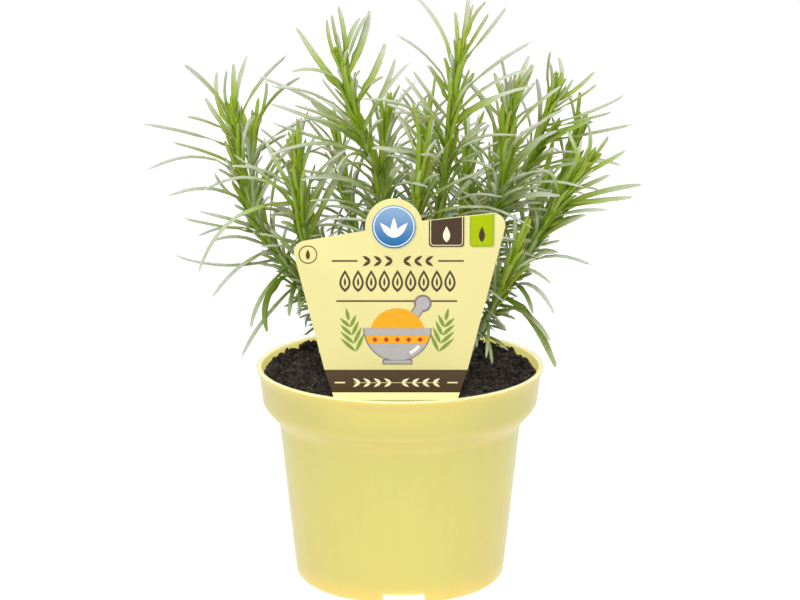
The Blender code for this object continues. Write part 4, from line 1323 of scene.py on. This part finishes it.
# %% [markdown]
# A leaf is an arc that leaves its stem along it and bends over to its tip. It needs room: no point of it
# may come too near to another leaf, a stem, the pot or the card. To find what is near, space is split
# into small cells, and only the cells around are searched.

# %% A leaf and its room
# Path points, direction across the blade, length, and the blade's own bow, roll, width and felt if set
Leaf = namedtuple("Leaf", "points across length form", defaults=((),))


def leaf_path(root, along, tip, arch):
    """A leaf's arched path: it leaves its root along the stem and bends over towards its tip."""
    reach = tip - root
    turn = along.angle(reach) / math.radians(90)
    pull = reach.length * arch * (BEND_UP[0] + BEND_UP[1] * turn)
    bend = root + reach * (BEND_OUT[0] + BEND_OUT[1] * turn) + along * pull
    points = [arc_at(root, bend, tip, step / LEAF_STEPS) for step in range(LEAF_STEPS + 1)]
    return Leaf(points, along.cross(reach).normalized(), reach.length)


def arc_of(leaf):
    """The root, bend and tip of a leaf's arc."""
    root, middle, tip = (leaf.points[i] for i in (0, LEAF_STEPS // 2, LEAF_STEPS))
    return root, 2 * middle - (root + tip) / 2, tip


def cell_of(point):
    return tuple(math.floor(value / ROOM_TO_OTHER_PLANT) for value in point)


def take_room(taken, plant, points, free_steps):
    """Notes each path point in its cell of space, with its plant and whether it is free to touch."""
    for step, point in enumerate(points):
        taken.setdefault(cell_of(point), []).append((plant, step < free_steps, point))


def clear_of_pot_and_card(point):
    if abs(point.x) > REACH_TO_SIDES or abs(point.y) > REACH_IN_DEPTH:
        return False
    near_pot = math.hypot(point.x, point.y) < ROOM_ROUND_LIP
    if near_pot and point.z < ROOM_OVER_SOIL:
        return False
    if point.y > CARD_Y + ROOM_TO_CARD:
        return True
    head_top = CARD_HEAD_CENTRE[1] + CARD_HEAD_RADIUS + ROOM_TO_CARD
    beside = abs(point.x - CARD_CENTRE_X) > card_half_width(point.z) + ROOM_TO_CARD
    return point.z > head_top or (beside and not near_pot)


def has_room(leaf, plant, taken, ease=1.0):
    """True if no path point comes too near to another leaf or stem, the pot or the card."""
    for step, point in enumerate(leaf.points):
        if not clear_of_pot_and_card(point):
            return False
        x, y, z = cell_of(point)
        for cell in product((x - 1, x, x + 1), (y - 1, y, y + 1), (z - 1, z, z + 1)):
            for other_plant, free, other in taken.get(cell, ()):
                same = other_plant == plant
                if same and (free or step < FREE_ROOT_STEPS):
                    continue
                room = ease * (ROOM_IN_SAME_PLANT if same else ROOM_TO_OTHER_PLANT)
                if (point - other).length_squared < room * room:
                    return False
    return True


print("leaves keep", round(ROOM_TO_OTHER_PLANT / MM, 1), "mm from other plants")

# %% [markdown]
# Leaves with a measured tip come first. The others follow at the golden angle, and each is tried a few
# times, with other turns and lengths, until it has room. A leaf that finds none isn't grown.

# %% Grow the leaves


def reaching_leaf(draw, reach, path, plant, taken):
    """A leaf to a measured tip. Without room, its tip moves in depth and its root along the stem."""
    x, y, z, root_height, *form = reach
    nearest = nearest_to(path, root_height)
    for attempt in range(REACHING_ATTEMPTS):
        at = min(len(path) - 1, nearest + attempt % 3)
        along = way_at(path, at)
        depth = y + attempt * draw.uniform(-DEPTH_SEARCH, DEPTH_SEARCH)
        tip = Vector((x, depth, z)) * MM
        leaf = leaf_path(path[at], along, tip, draw.uniform(*REACHING_ARCHES))
        if has_room(leaf, plant, taken):
            return leaf._replace(form=tuple(form))
    return None


def grow_leaf(draw, shoot, path, index, plant, taken):
    """Leaf number index of a shoot, counted from its tip, or None where there is no room for it."""
    down = index / max(1, shoot.leaf_count - 1)  # 0 at the tip, 1 at the lowest leaf
    bare_steps = round(shoot.bare * MM / STEM_SAMPLE)
    span = len(path) - 1 - bare_steps
    at = len(path) - 1 - round(span * down**CROWDING)
    along = way_at(path, at)
    middle = down * (1.0 - down)
    reach = LEAF_LENGTH * (LENGTH_AT_TIP + LENGTH_GAIN_IN_MIDDLE * middle + LENGTH_GAIN_AT_FOOT * down)
    for attempt in range(ATTEMPTS):
        spread = TURN_SEARCH[0] + TURN_SEARCH[1] * attempt
        turn = index * GOLDEN_ANGLE + draw.uniform(-spread, spread)
        outward = outward_of(along, turn)
        length = reach * draw.uniform(*GROWN_LENGTHS)
        length *= 1.0 if attempt < FULL_LENGTH_ATTEMPTS else SHORTENED
        lean = LEAN_AT_TIP + (LEAN_AT_FOOT - LEAN_AT_TIP) * down**LEAN_CURVE
        lean += math.radians(draw.uniform(*GROWN_LEANS))
        heading = along * math.cos(lean) + outward * math.sin(lean)
        heading.z -= draw.uniform(*GROWN_DROOPS) * down
        leaf = leaf_path(path[at], along, path[at] + heading * length, draw.uniform(*GROWN_ARCHES))
        if has_room(leaf, plant, taken):
            return leaf
    return None


def grow_leaves(paths):
    """All leaves by plant: first those that reach a measured tip, then the rest, shoot by shoot."""
    taken = {}
    for plant in PLANTS:
        for path in paths[plant]:
            take_room(taken, plant, path, 0)
    leaves = {plant: [] for plant in PLANTS}

    def keep(plant, leaf):
        if leaf:
            leaves[plant].append(leaf)
            take_room(taken, plant, leaf.points, FREE_ROOT_STEPS)

    for plant, shoots in PLANTS.items():
        for shoot, path in zip(shoots, paths[plant]):
            draw = random.Random(shoot.seed)
            for reach in shoot.reaches:
                keep(plant, reaching_leaf(draw, reach, path, plant, taken))
    measured = {plant: len(grown) for plant, grown in leaves.items()}
    for plant, shoots in PLANTS.items():
        for shoot, path in zip(shoots, paths[plant]):
            draw = random.Random(shoot.seed)
            for index in range(shoot.leaf_count):
                keep(plant, grow_leaf(draw, shoot, path, index, plant, taken))
    return leaves, measured, taken


LEAVES, MEASURED, TAKEN = grow_leaves(PATHS)
print({plant: len(grown) for plant, grown in LEAVES.items()})

# %% [markdown]
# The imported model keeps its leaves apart, so that they stay few and clean. In a real shoot, leaves
# cross others. These are the crossing ones that stand out in the photograph, and a few low ones beside
# the pot's wall. A crossing leaf asks for no room, because it is never a solid.

# %% Leaves that cross others
LOW_REACHES = {
    "curry_plant_left": [(-39.5, -14, 100.5, 116), (-33, -16, 99, 108)],
    "curry_plant_far_right": [(37.6, -22, 96, 108), (44.8, -8, 98, 104)],
}
# The shoot's number comes first
CROSSING_REACHES = {
    "curry_plant_left": [
        (0, -67, -7, 217, 196, 0.3, 40), (0, -99.8, -42, 179.5, 169, -7.5, 25),
        (0, -70, -20, 181, 164, 0.0, 60), (0, -45.4, -16, 114.7, 127, 0.0, 60),
        (0, -41, -20, 115.6, 125, 0.3, 70), (1, -34, -18, 190, 170, 1.0, 60),
        (1, -20, -16, 188, 150, 2.9, 50), (1, -21.4, -12, 178.6, 146, 0.6, 50),
        (1, -48, -24, 155.5, 147, -1.0, 60, 1.2), (1, -45, -24, 162, 152, 0.0, 60),
        (1, -33, -24, 164, 152, 0.0, 60, 1.2), (0, -52, -12, 171, 155, 0.5, 60, 1.2),
    ],
    "curry_plant_mid_left": [
        (0, -24.4, -20, 241.5, 214, -1.2, 20), (0, -12.3, -24, 239, 211, 2.7),
        (0, -39.5, -26, 173, 161, -5.0, 60), (1, 5.4, 12, 172, 158, 1.0, 60, 1.3),
        (1, -12, 12, 171, 156, 0.0, 60), (1, 2.1, 14, 178, 162, 0.5, 60, 1.2),
        (0, -25, -24, 232, 210, 0.0, 70, 1.5), (0, -22, -16, 227, 206, 0.0, 60, 1.2),
    ],
    "curry_plant_mid_right": [
        (0, -2.4, -24, 200.4, 178, 0.5, 50), (0, -6.3, -34, 186, 179, -0.8, 50),
        (0, 42, -30, 243, 219, -0.3, 20), (0, 51.8, -24, 217.2, 195, 3.9, 50, 0.65, 1.3),
        (0, 52.7, -30, 211.3, 190, 4.5, 40, 0.65, 1.4), (0, 40, -30, 207.7, 194, 1.5, 60, 1.4),
        (0, 5.5, -24, 216, 196, 0.5, 50), (0, 12, -24, 218.4, 205, 0.5, 50),
        (0, 21.6, -26, 240, 217, 0.0, 60),
    ],
    "curry_plant_right": [
        (1, 61.4, 10, 215.4, 197, -1.2, 40), (0, 63.9, -26, 166.5, 155, 3.5, 60),
        (0, 53, -16, 218, 193, 1.0, 70, 1.5), (0, 44.5, -20, 215, 191, 0.5, 60, 1.1),
        (1, 78, 2, 192.7, 178, 0.8, 60, 1.3, 0.6),
    ],
    "curry_plant_far_right": [
        (0, 67.7, -6, 189.4, 174, -1.0, 30), (0, 53.8, -22, 117.1, 129, 2.3, 60),
        (0, 73.8, -24, 158, 143.5, 1.5, 60, 1.3), (0, 63, -24, 143, 136, 1.0, 50, 1.2),
        (0, 60, -20, 143, 122, 2.0, 40),
    ],
}
CROSSING_ARCH = 0.9
AT_ROOT = 0.1 * MM


def crossing_leaf(number, reach, plant):
    x, y, z, root_height, *form = reach
    path = PATHS[plant][number]
    at = nearest_to(path, root_height)
    leaf = leaf_path(path[at], way_at(path, at), Vector((x, y, z)) * MM, CROSSING_ARCH)
    return leaf._replace(form=tuple(form))


def youth_at(root, paths):
    """0 for a leaf on the lower half of its shoot, rising to 1 at the shoot's tip."""
    shares = [0.5]
    for path in paths:
        shares += [i / (len(path) - 1) for i, point in enumerate(path) if (point - root).length < AT_ROOT]
    return (max(shares) - 0.5) * 2


print(sum(len(reaches) for reaches in CROSSING_REACHES.values()), "crossing leaves")

# %% [markdown]
# A real shoot is denser still: young leaves stand close round its tip like a loose brush, small leaves
# lie along its stem and hide it, and more leaves fill its inside. They differ in place, lean and size,
# so each kind has a rule of its own, with less room asked for each leaf.

# %% Young, small and filling leaves
UPRIGHT_TURN = 0.3  # radians
UPRIGHT_ARCHES = (0.8, 1.2)
ROOT_SHARE = 0.6  # of the stem's radius
CORE_LEAVES = 14
CORE_LENGTH = 34.0 * MM  # of the stem below the shoot's tip
CORE_LEANS = (3, 12)  # degrees, at the shoot's tip and at the lowest core leaf
CORE_LEAN_DRAW = (-2, 4)
CORE_LEAF = 0.40  # share of LEAF_LENGTH, at the shoot's tip
CORE_LEAF_GAIN = 0.30
CORE_SIZES = (0.85, 1.15)
CORE_AGEING = 0.3
CORE_FORM = (None, 0, 1.25, 0.55)  # as the last four values of a reaching leaf
SLEEVE_STEP = 4.4 * MM
SLEEVE_LEAF = 24.0 * MM
SLEEVE_LEANS = (3, 11)  # degrees
SLEEVE_SIZES = (0.7, 1.4)
SLEEVE_YOUTH = 0.9
SLEEVE_FROM = 0.8  # of the length below a shoot's leaves
SLEEVE_FORM = (None, 0, 1.3, 0.35)
STEM_IN_SIGHT = {"curry_plant_far_right": (70, 60, 5)}  # mm of each stem without small leaves
FILL_ATTEMPTS = 10
FILL_EASE = 0.55  # share of the usual room
FILL_FROM = 0.7
FILL_PLACES = (0.35, 1.0)  # 0 at the shoot's tip, 1 at its lowest leaf
FILL_LEANS = (15, 35)
FILL_LEAN_GAIN = 45
FILL_DROOPS = (0.0, 0.5)
FILL_LENGTHS = (0.55, 0.95)
FILL_ARCHES = (0.6, 1.2)
FILL_YOUTH = 0.6
# How many filling leaves a plant has, as a share of its grown ones
FILL_SHARE = {
    "curry_plant_left": 0.35, "curry_plant_mid_left": 0.7, "curry_plant_mid_right": 1.3,
    "curry_plant_right": 1.3, "curry_plant_far_right": 0.35, "curry_plant_back": 1.5,
    "curry_plant_back_right": 1.5, "curry_plant_back_left": 0.6,
}
TOP_OF_LEAVES = cad_box[1].z - 0.8 * MM


def ends_inside(leaf):
    return all(point.z < TOP_OF_LEAVES and clear_of_pot_and_card(point) for point in leaf.points)


def upright_leaf(draw, path, at, index, lean, length):
    """A leaf that stands close to its stem, rooted in the stem's side."""
    along = way_at(path, at)
    turn = index * GOLDEN_ANGLE + draw.uniform(-UPRIGHT_TURN, UPRIGHT_TURN)
    outward = outward_of(along, turn)
    root = path[at] + outward * stem_radius(at / (len(path) - 1)) * ROOT_SHARE
    tip = root + (along * math.cos(lean) + outward * math.sin(lean)) * length
    return leaf_path(root, along, tip, draw.uniform(*UPRIGHT_ARCHES))


def core_leaves(draw, path):
    """Young leaves that stand close round the upper end of a shoot."""
    below = min(len(path) // 2, round(CORE_LENGTH / STEM_SAMPLE))
    made = []
    for index in range(CORE_LEAVES):
        down = index / (CORE_LEAVES - 1)
        lean = CORE_LEANS[0] + (CORE_LEANS[1] - CORE_LEANS[0]) * down + draw.uniform(*CORE_LEAN_DRAW)
        length = LEAF_LENGTH * (CORE_LEAF + CORE_LEAF_GAIN * down) * draw.uniform(*CORE_SIZES)
        at = len(path) - 1 - round(below * down)
        leaf = upright_leaf(draw, path, at, index, math.radians(lean), length)
        if ends_inside(leaf):
            made.append((leaf._replace(form=CORE_FORM), 1.0 - CORE_AGEING * down))
    return made


def sleeve_leaves(draw, path, bare):
    """Small leaves that lie along the leafy part of a stem and hide it."""
    lowest = round(SLEEVE_FROM * bare * MM / STEM_SAMPLE)
    count = round((len(path) - 1 - lowest) * STEM_SAMPLE / SLEEVE_STEP)
    made = []
    for index in range(count):
        up = (index + draw.random()) / count
        at = lowest + round((len(path) - 1 - lowest) * up)
        lean = math.radians(draw.uniform(*SLEEVE_LEANS))
        length = SLEEVE_LEAF * draw.uniform(*SLEEVE_SIZES)
        leaf = upright_leaf(draw, path, max(1, at), index, lean, length)
        if ends_inside(leaf):
            made.append((leaf._replace(form=SLEEVE_FORM), SLEEVE_YOUTH * up))
    return made


def filling_leaves(draw, shoot, path, plant):
    """Shorter leaves at any height of a shoot, where a smaller room is free."""
    span = len(path) - 1 - round(FILL_FROM * shoot.bare * MM / STEM_SAMPLE)
    made = []
    for _ in range(round(FILL_SHARE[plant] * shoot.leaf_count)):
        for _ in range(FILL_ATTEMPTS):
            down = draw.uniform(*FILL_PLACES)
            at = len(path) - 1 - round(span * down)
            along = way_at(path, at)
            outward = outward_of(along, draw.uniform(0, math.tau))
            lean = math.radians(draw.uniform(*FILL_LEANS) + FILL_LEAN_GAIN * down)
            heading = along * math.cos(lean) + outward * math.sin(lean)
            heading.z -= draw.uniform(*FILL_DROOPS) * down
            length = LEAF_LENGTH * draw.uniform(*FILL_LENGTHS)
            leaf = leaf_path(path[at], along, path[at] + heading * length, draw.uniform(*FILL_ARCHES))
            if ends_inside(leaf) and has_room(leaf, plant, TAKEN, FILL_EASE):
                made.append((leaf, FILL_YOUTH * (1.0 - down)))
                take_room(TAKEN, plant, leaf.points, FREE_ROOT_STEPS)
                break
    return made


def all_leaves(plant, draw):
    """All of a plant's leaves, each with its youth, and how many of them reach a measured tip."""
    paths, shoots = PATHS[plant], PLANTS[plant]
    low = [reaching_leaf(draw, reach, paths[0], plant, TAKEN) for reach in LOW_REACHES.get(plant, ())]
    grown = [(leaf, 0.0) for leaf in low if leaf]
    steady = [crossing_leaf(number, reach, plant) for number, *reach in CROSSING_REACHES.get(plant, ())]
    grown += [(leaf, youth_at(leaf.points[0], paths)) for leaf in steady + LEAVES[plant]]
    measured = sum(leaf is not None for leaf in low) + len(steady) + MEASURED[plant]
    bare_stems = STEM_IN_SIGHT.get(plant, [shoot.bare for shoot in shoots])
    for bare, path in zip(bare_stems, paths):
        grown += core_leaves(draw, path)
        grown += sleeve_leaves(draw, path, bare)
    for shoot, path in zip(shoots, paths):
        grown += filling_leaves(draw, shoot, path, plant)
    return grown, measured


print("rules for", CORE_LEAVES, "young leaves at each tip, small ones along the stems and filling ones")

# %% [markdown]
# Random leaves would blur the plant's outline, which the eye knows best. The crown's edge is one closed
# line, as the camera sees it, in mm across and up in the plane through the pot's axis. A leaf that
# would pass it is drawn shorter, unless its tip was measured.

# %% The crown's edge
CROWN_EDGE = [
    (-42, 80), (-42, 98), (-43, 110), (-44, 118), (-48, 124), (-52, 131), (-58, 138), (-62, 145),
    (-65, 153), (-66, 161), (-68, 167), (-71, 174), (-72, 181), (-73, 189), (-75, 195), (-72, 200),
    (-68, 204), (-64, 200), (-62, 194), (-58, 196), (-56, 188), (-56, 177), (-51, 173), (-48, 177),
    (-46, 187), (-44, 195), (-40, 195), (-37, 190), (-36, 199), (-32, 205), (-29, 214), (-27, 223),
    (-21, 224), (-17, 215), (-15, 204), (-11, 203), (-6, 207), (0, 208), (6, 206), (13, 207), (16, 213),
    (20, 222), (22, 228), (27, 228), (30, 221), (32, 214), (36, 207), (42, 210), (49, 214), (54, 216),
    (57, 209), (61, 214), (67, 213), (72, 205), (77, 200), (78, 190), (78, 183), (83, 181), (84, 173),
    (82, 165), (77, 158), (72, 153), (66, 147), (61, 141), (58, 135), (55, 130), (52, 123), (48, 116),
    (45, 108), (42, 100), (42, 80),
]
SHORTEST_SHARE = 0.35
SHORTENING_STEP = 0.05


def in_crown(point):
    """True if the camera sees the point inside the crown's edge."""
    share = CAMERA_DISTANCE / (CAMERA_DISTANCE + point.y)
    x, z = point.x * share / MM, (CAMERA_HEIGHT + (point.z - CAMERA_HEIGHT) * share) / MM
    inside = False
    for (x0, z0), (x1, z1) in zip(CROWN_EDGE, CROWN_EDGE[1:]):
        if (z0 > z) != (z1 > z) and x < x0 + (x1 - x0) * (z - z0) / (z1 - z0):
            inside = not inside
    return inside


def kept_in_crown(leaf, keep):
    """The leaf. If it would pass the crown's edge, it keeps a share of the length that stays inside."""
    arc = arc_of(leaf)
    share = 1.0
    while share > SHORTEST_SHARE and not in_crown(arc_at(*arc, share)):
        share -= SHORTENING_STEP
    if share < 1.0:
        share = max(SHORTEST_SHARE, share * keep)
    points = [arc_at(*arc, share * step / LEAF_STEPS) for step in range(LEAF_STEPS + 1)]
    return leaf._replace(points=points, length=leaf.length * share)


print("crown of", len(CROWN_EDGE), "corners")

# %% [markdown]
# The leaves are covered with fine felt, which greys their green. A young leaf is bright yellow-green
# and its felt shows at the tip; an old one is a deeper green, silvery over most of its length and on
# its underside. The pattern follows the blade, so it reads attributes that each blade carries.

# %% Leaf and stem finishes
OLD_GREEN = (0.095, 0.180, 0.001)
YOUNG_GREEN = (0.275, 0.405, 0.001)
MID_GREEN = (0.335, 0.420, 0.115)
SILVER = (0.545, 0.590, 0.505)

felted = Finish(
    "felted_leaf", MID_GREEN, 0.60, subsurface_weight=0.25, subsurface_scale=0.001, sheen_weight=0.06,
    sheen_roughness=0.4, specular_ior_level=0.15,
)
along_leaf = felted.attribute("along")
youth = felted.attribute("youth")
low_green = felted.mix(youth, OLD_GREEN, YOUNG_GREEN)
blade_green = felted.mix(felted.ramp(along_leaf, 0.0, 0.8), low_green, MID_GREEN)
felt_outward = felted.ramp(along_leaf, 0.30, 1.0)
felt_outward = felted.math("MULTIPLY", felt_outward, felted.ramp(youth, 0.0, 1.0, 0.78, 0.72))
felt = felted.math("ADD", felt_outward, felted.math("MULTIPLY", felted.attribute("under"), 0.14))
felt = felted.math("ADD", felt, felted.ramp(felted.attribute("tone"), 0.2, 1.0, 0.0, 0.42))
felt = felted.math("ADD", felt, felted.mottle(260.0, -0.30, -0.02))
felted.link(felted.mix(felt, blade_green, SILVER), "Base Color")
felted.gloss(500.0, 0.50, 0.72)
felted.relief(felted.mottle(3200.0), 0.00005)

WOOD_BROWN = (0.12, 0.085, 0.05)
STEM_GREEN = (0.29, 0.39, 0.10)
BARK_FELT = (0.36, 0.40, 0.26)
BARK_FOOT = 88.0 * MM
BARK_TOP = 112.0 * MM
bark = Finish("felted_stem", STEM_GREEN, 0.75, sheen_weight=0.15)
bark_colour = bark.mix(bark.ramp(bark.height(), BARK_FOOT, BARK_TOP), WOOD_BROWN, STEM_GREEN)
bark.link(bark.mix(bark.mottle(900.0, 0.0, 0.6), bark_colour, BARK_FELT), "Base Color")
bark.gloss(700.0, 0.62, 0.90)
bark.relief(bark.mottle(1.0, vector=bark.stretched((1300, 1300, 350))), 0.00025)
print("leaf finishes ready")

# %% [markdown]
# A blade is narrow at its root, widest past its middle and drawn to a blunt point. Its margins roll
# down, so its top has a shallow groove and its underside a keel. It is lofted once through eleven
# rings, and each copy is bent along its own path with a little twist, sway and curl.

# %% Blade
BLADE_STATIONS = (
    (0.0, 0.62), (0.09, 0.66), (0.21, 0.76), (0.34, 0.87), (0.47, 0.95), (0.60, 1.0), (0.72, 0.98),
    (0.83, 0.88), (0.92, 0.68), (0.975, 0.42), (1.0, 0.14),
)
BLADE_SECTION = ((1.0, 0.02), (0.55, 0.44), (0.0, 0.20), (-0.55, 0.44), (-1.0, 0.02), (0.0, -0.80))
TWIST = 0.7
SWAY = 0.05
CURL = 0.07


def make_blade():
    blade = loft("blade", len(BLADE_SECTION), [(share, t) for t, share in BLADE_STATIONS])
    points = np.array([vertex.co for vertex in blade.data.vertices])
    share = np.hypot(points[:, 0], points[:, 1])
    corner = np.rint(np.arctan2(points[:, 1], points[:, 0]) / (math.tau / len(BLADE_SECTION))).astype(int)
    section = np.array(BLADE_SECTION)[corner % len(BLADE_SECTION)]
    for name, values in (("along", points[:, 2]), ("under", (section[:, 1] < 0).astype(float))):
        blade.data.attributes.new(name, "FLOAT", "POINT").data.foreach_set("value", values)
    select_only(blade)
    bpy.ops.object.shade_smooth()
    return blade, points[:, 2], share, section


def path_point(leaf, t, sway, curl):
    """Points at the shares t of a leaf's arched path, moved aside and curled towards the tip."""
    root, middle, tip = (np.array(leaf.points[i]) for i in (0, LEAF_STEPS // 2, LEAF_STEPS))
    bend = 2 * middle - (root + tip) / 2
    t = t[:, None]
    path = arc_at(root, bend, tip, t)
    across = np.array(leaf.across)
    upper = np.cross(tip - root, across)
    upper /= np.linalg.norm(upper)
    return path + leaf.length * (across * sway * t**2 + upper * curl * t**3)


def bowed(leaf, bow):
    """The leaf with its middle moved, as the camera sees it, to its bow beside the way to its tip."""
    root, middle, tip = (leaf.points[i] for i in (0, LEAF_STEPS // 2, LEAF_STEPS))
    way = Vector((tip.x - root.x, 0, tip.z - root.z)).normalized()
    place = (root + tip) / 2 + Vector((-way.z, 0, way.x)) * bow * MM
    place.y = middle.y
    shares = [step / LEAF_STEPS for step in range(LEAF_STEPS + 1)]
    points = [point + (place - middle) * 4 * t * (1 - t) for t, point in zip(shares, leaf.points)]
    return leaf._replace(points=points)


def bent_blade(leaf, width, t, share, section, roll, twist, sway, curl):
    """The blade's points laid along a leaf's path."""
    step = 0.01
    centre = path_point(leaf, t, sway, curl)
    tangent = path_point(leaf, t + step, sway, curl) - path_point(leaf, t - step, sway, curl)
    tangent /= np.linalg.norm(tangent, axis=1)[:, None]
    across = np.array(leaf.across) - tangent * (tangent @ np.array(leaf.across))[:, None]
    across /= np.linalg.norm(across, axis=1)[:, None]
    upper = np.cross(tangent, across)
    angle = (roll + twist * t**2)[:, None]
    turned_across = across * np.cos(angle) + upper * np.sin(angle)
    turned_upper = upper * np.cos(angle) - across * np.sin(angle)
    half = width / 2 * share * section[:, 0]
    depth = LEAF_THICKNESS * (0.5 + 0.5 * share) * np.minimum(1, share * 3) * section[:, 1]
    return centre + turned_across * half[:, None] + turned_upper * depth[:, None]


BLADE, BLADE_T, BLADE_SHARE, BLADE_CORNER = make_blade()
print("blade faces", len(BLADE.data.polygons))

# %% [markdown]
# A plant is one grown piece, so its stems and all its blades are joined into one mesh. A stem is a
# curve with a round bevel, whose radius falls towards the tip. Each blade is a copy with attributes for
# its youth, its tone and its felt, so all of them share one material.

# %% Plants
CAD_LOW, CAD_HIGH = np.array(cad_box[0]), np.array(cad_box[1])
CROWN_SHARES = (0.7, 1.0)
STEADY_WIDTHS = (0.88, 1.08)
OTHER_WIDTHS = (0.66, 1.0)
SHORT_WIDTH = 0.62  # a very short leaf's width as a share of a long one's
SHORT_LEAF_GREEN = 0.3  # an exponent: the higher, the greener short leaves stay
PLAIN_FORM = (None, 0, 1.0, 1.0)  # a natural bow, no roll, the usual width and the usual felt


def make_leaf(leaf, youth_of_leaf, steady, draw):
    """A blade on its path. A steady leaf, one that reaches a measured tip, neither sways nor curls."""
    if not steady:
        leaf = kept_in_crown(leaf, draw.uniform(*CROWN_SHARES))
    bow, roll, broad, grey = (*leaf.form, *PLAIN_FORM[len(leaf.form):])
    slender = draw.uniform(*(STEADY_WIDTHS if steady else OTHER_WIDTHS))
    long_share = min(1.0, leaf.length / LONG_LEAF)
    width = LEAF_WIDTH * (SHORT_WIDTH + (1 - SHORT_WIDTH) * long_share) * slender * broad
    twist, sway, curl = (draw.uniform(-limit, limit) for limit in (TWIST, SWAY, CURL))
    if steady:
        sway = curl = 0.0
    face = math.copysign(math.radians(roll), leaf.across.y)
    drawn = leaf if bow is None else bowed(leaf, bow)
    shape = (width, BLADE_T, BLADE_SHARE, BLADE_CORNER)
    points = bent_blade(drawn, *shape, face, twist, sway, curl)
    if (points < CAD_LOW).any() or (points > CAD_HIGH).any():
        points = bent_blade(leaf, *shape, 0.0, 0.0, 0.0, 0.0)
    blade = copy_of(BLADE)
    blade.data.vertices.foreach_set("co", points.ravel())
    for name, value in (("youth", youth_of_leaf), ("tone", draw.random() * grey)):
        attribute = blade.data.attributes.new(name, "FLOAT", "POINT")
        attribute.data.foreach_set("value", np.full(len(points), value))
    grey_share = grey * long_share**SHORT_LEAF_GREEN
    blade.data.attributes["along"].data.foreach_set("value", BLADE_T * grey_share)
    paint(blade, felted.material)
    return blade


def make_stem(path):
    """A tapered round stem along its path."""
    curve = bpy.data.curves.new("stem", "CURVE")
    curve.dimensions = "3D"
    curve.bevel_depth = 1.0
    curve.bevel_resolution = 2
    curve.use_fill_caps = True
    spline = curve.splines.new("POLY")
    spline.points.add(len(path) - 1)
    for i, place in enumerate(path):
        spline.points[i].co = (*place, 1.0)
        spline.points[i].radius = stem_radius(i / (len(path) - 1))
    stem = bpy.data.objects.new("stem", curve)
    bpy.context.collection.objects.link(stem)
    select_only(stem)
    bpy.ops.object.convert(target="MESH")
    bpy.ops.object.shade_smooth()
    paint(stem, bark.material)
    return stem


def make_plants():
    for number, plant in enumerate(PLANTS):
        draw = random.Random(100 + number)
        pieces = [make_stem(path) for path in PATHS[plant]]
        grown, steady = all_leaves(plant, draw)
        pieces += [make_leaf(*leaf_and_youth, i < steady, draw) for i, leaf_and_youth in enumerate(grown)]
        print(plant, len(pieces) - len(PATHS[plant]), "leaves")
        made = join(pieces, plant.replace("curry_", "leafy_"))
        finish_piece(made, "leaf", plant)
    bpy.data.objects.remove(BLADE)


make_plants()

# %% [markdown]
# The photograph is a cut-out on pure white in very soft light. A white floor and a white sky give that.
# The sky that lights the plant is dimmer than the white one that the camera sees, or it would wash out
# the shade between the leaves.

# %% Floor and sky
WHITE = (1, 1, 1, 1)
FLOOR_SIZE = 14
FLOOR_HEIGHT = -0.0005
SKY_LIGHT = 0.52

floor_white = Finish("studio_floor", (0.12, 0.12, 0.12), 0.9, emission_strength=0.94)
floor_white.shader.inputs["Emission Color"].default_value = WHITE
floor_white.gloss(3.0, 0.88, 0.92)
bpy.ops.object.select_all(action="DESELECT")
bpy.ops.mesh.primitive_plane_add(size=FLOOR_SIZE, location=(0, 0, FLOOR_HEIGHT))
floor = bpy.context.object
floor.name = "studio_floor"
settle(floor)
paint(floor, floor_white.material)

world = bpy.data.worlds.new("white_sky")
bpy.context.scene.world = world
world.use_nodes = True
sky = world.node_tree
lighting_sky = sky.nodes["Background"]
lighting_sky.inputs["Color"].default_value = WHITE
lighting_sky.inputs["Strength"].default_value = SKY_LIGHT
seen_sky = add_node(sky, "ShaderNodeBackground", {"Color": WHITE, "Strength": 1.0})
seen_directly = add_node(sky, "ShaderNodeLightPath").outputs["Is Camera Ray"]
choices = {0: seen_directly, 1: lighting_sky.outputs[0], 2: seen_sky.outputs[0]}
sky_choice = add_node(sky, "ShaderNodeMixShader", choices)
sky.links.new(sky_choice.outputs[0], sky.nodes["World Output"].inputs["Surface"])
bpy.context.scene.view_settings.view_transform = "Standard"
print("white floor and sky ready")

# %% [markdown]
# Large soft lights stand round the plant, as a studio's softboxes do. A tall narrow one at the left
# draws the soft upright highlight on the pot.

# %% Lights
# Each light: its place, the height on the pot's axis that it faces, its width and height, and its power
LIGHTS = {
    "top": ((0.0, -0.1, 1.4), 0.12, 1.2, 1.2, 8.5),
    "key": ((-0.15, -0.9, 1.4), 0.12, 0.8, 0.8, 3.5),
    "front": ((0.0, -1.5, 0.9), 0.10, 0.5, 0.4, 8.5),
    "strip": ((-0.62, -0.80, 0.35), 0.08, 0.07, 0.9, 1.3),
    "fill": ((0.8, -0.9, 0.6), 0.12, 0.8, 0.8, 1.8),
    "back": ((0.0, 1.3, 0.8), 0.12, 1.6, 0.8, 7),
}
for name, (location, facing, width, height, power) in LIGHTS.items():
    bpy.ops.object.light_add(type="AREA", location=location)
    light = bpy.context.object
    light.name = name
    light.data.shape = "RECTANGLE"
    light.data.size = width
    light.data.size_y = height
    light.data.energy = power
    way = Vector((0, 0, facing)) - Vector(location)
    light.rotation_euler = way.to_track_quat("-Z", "Y").to_euler()
print(len(LIGHTS), "lights")

# %% [markdown]
# The last cell prints the imported model's box.

# %% Imported box
print("cad box   ", [[round(v / MM, 1) for v in corner] for corner in cad_box])
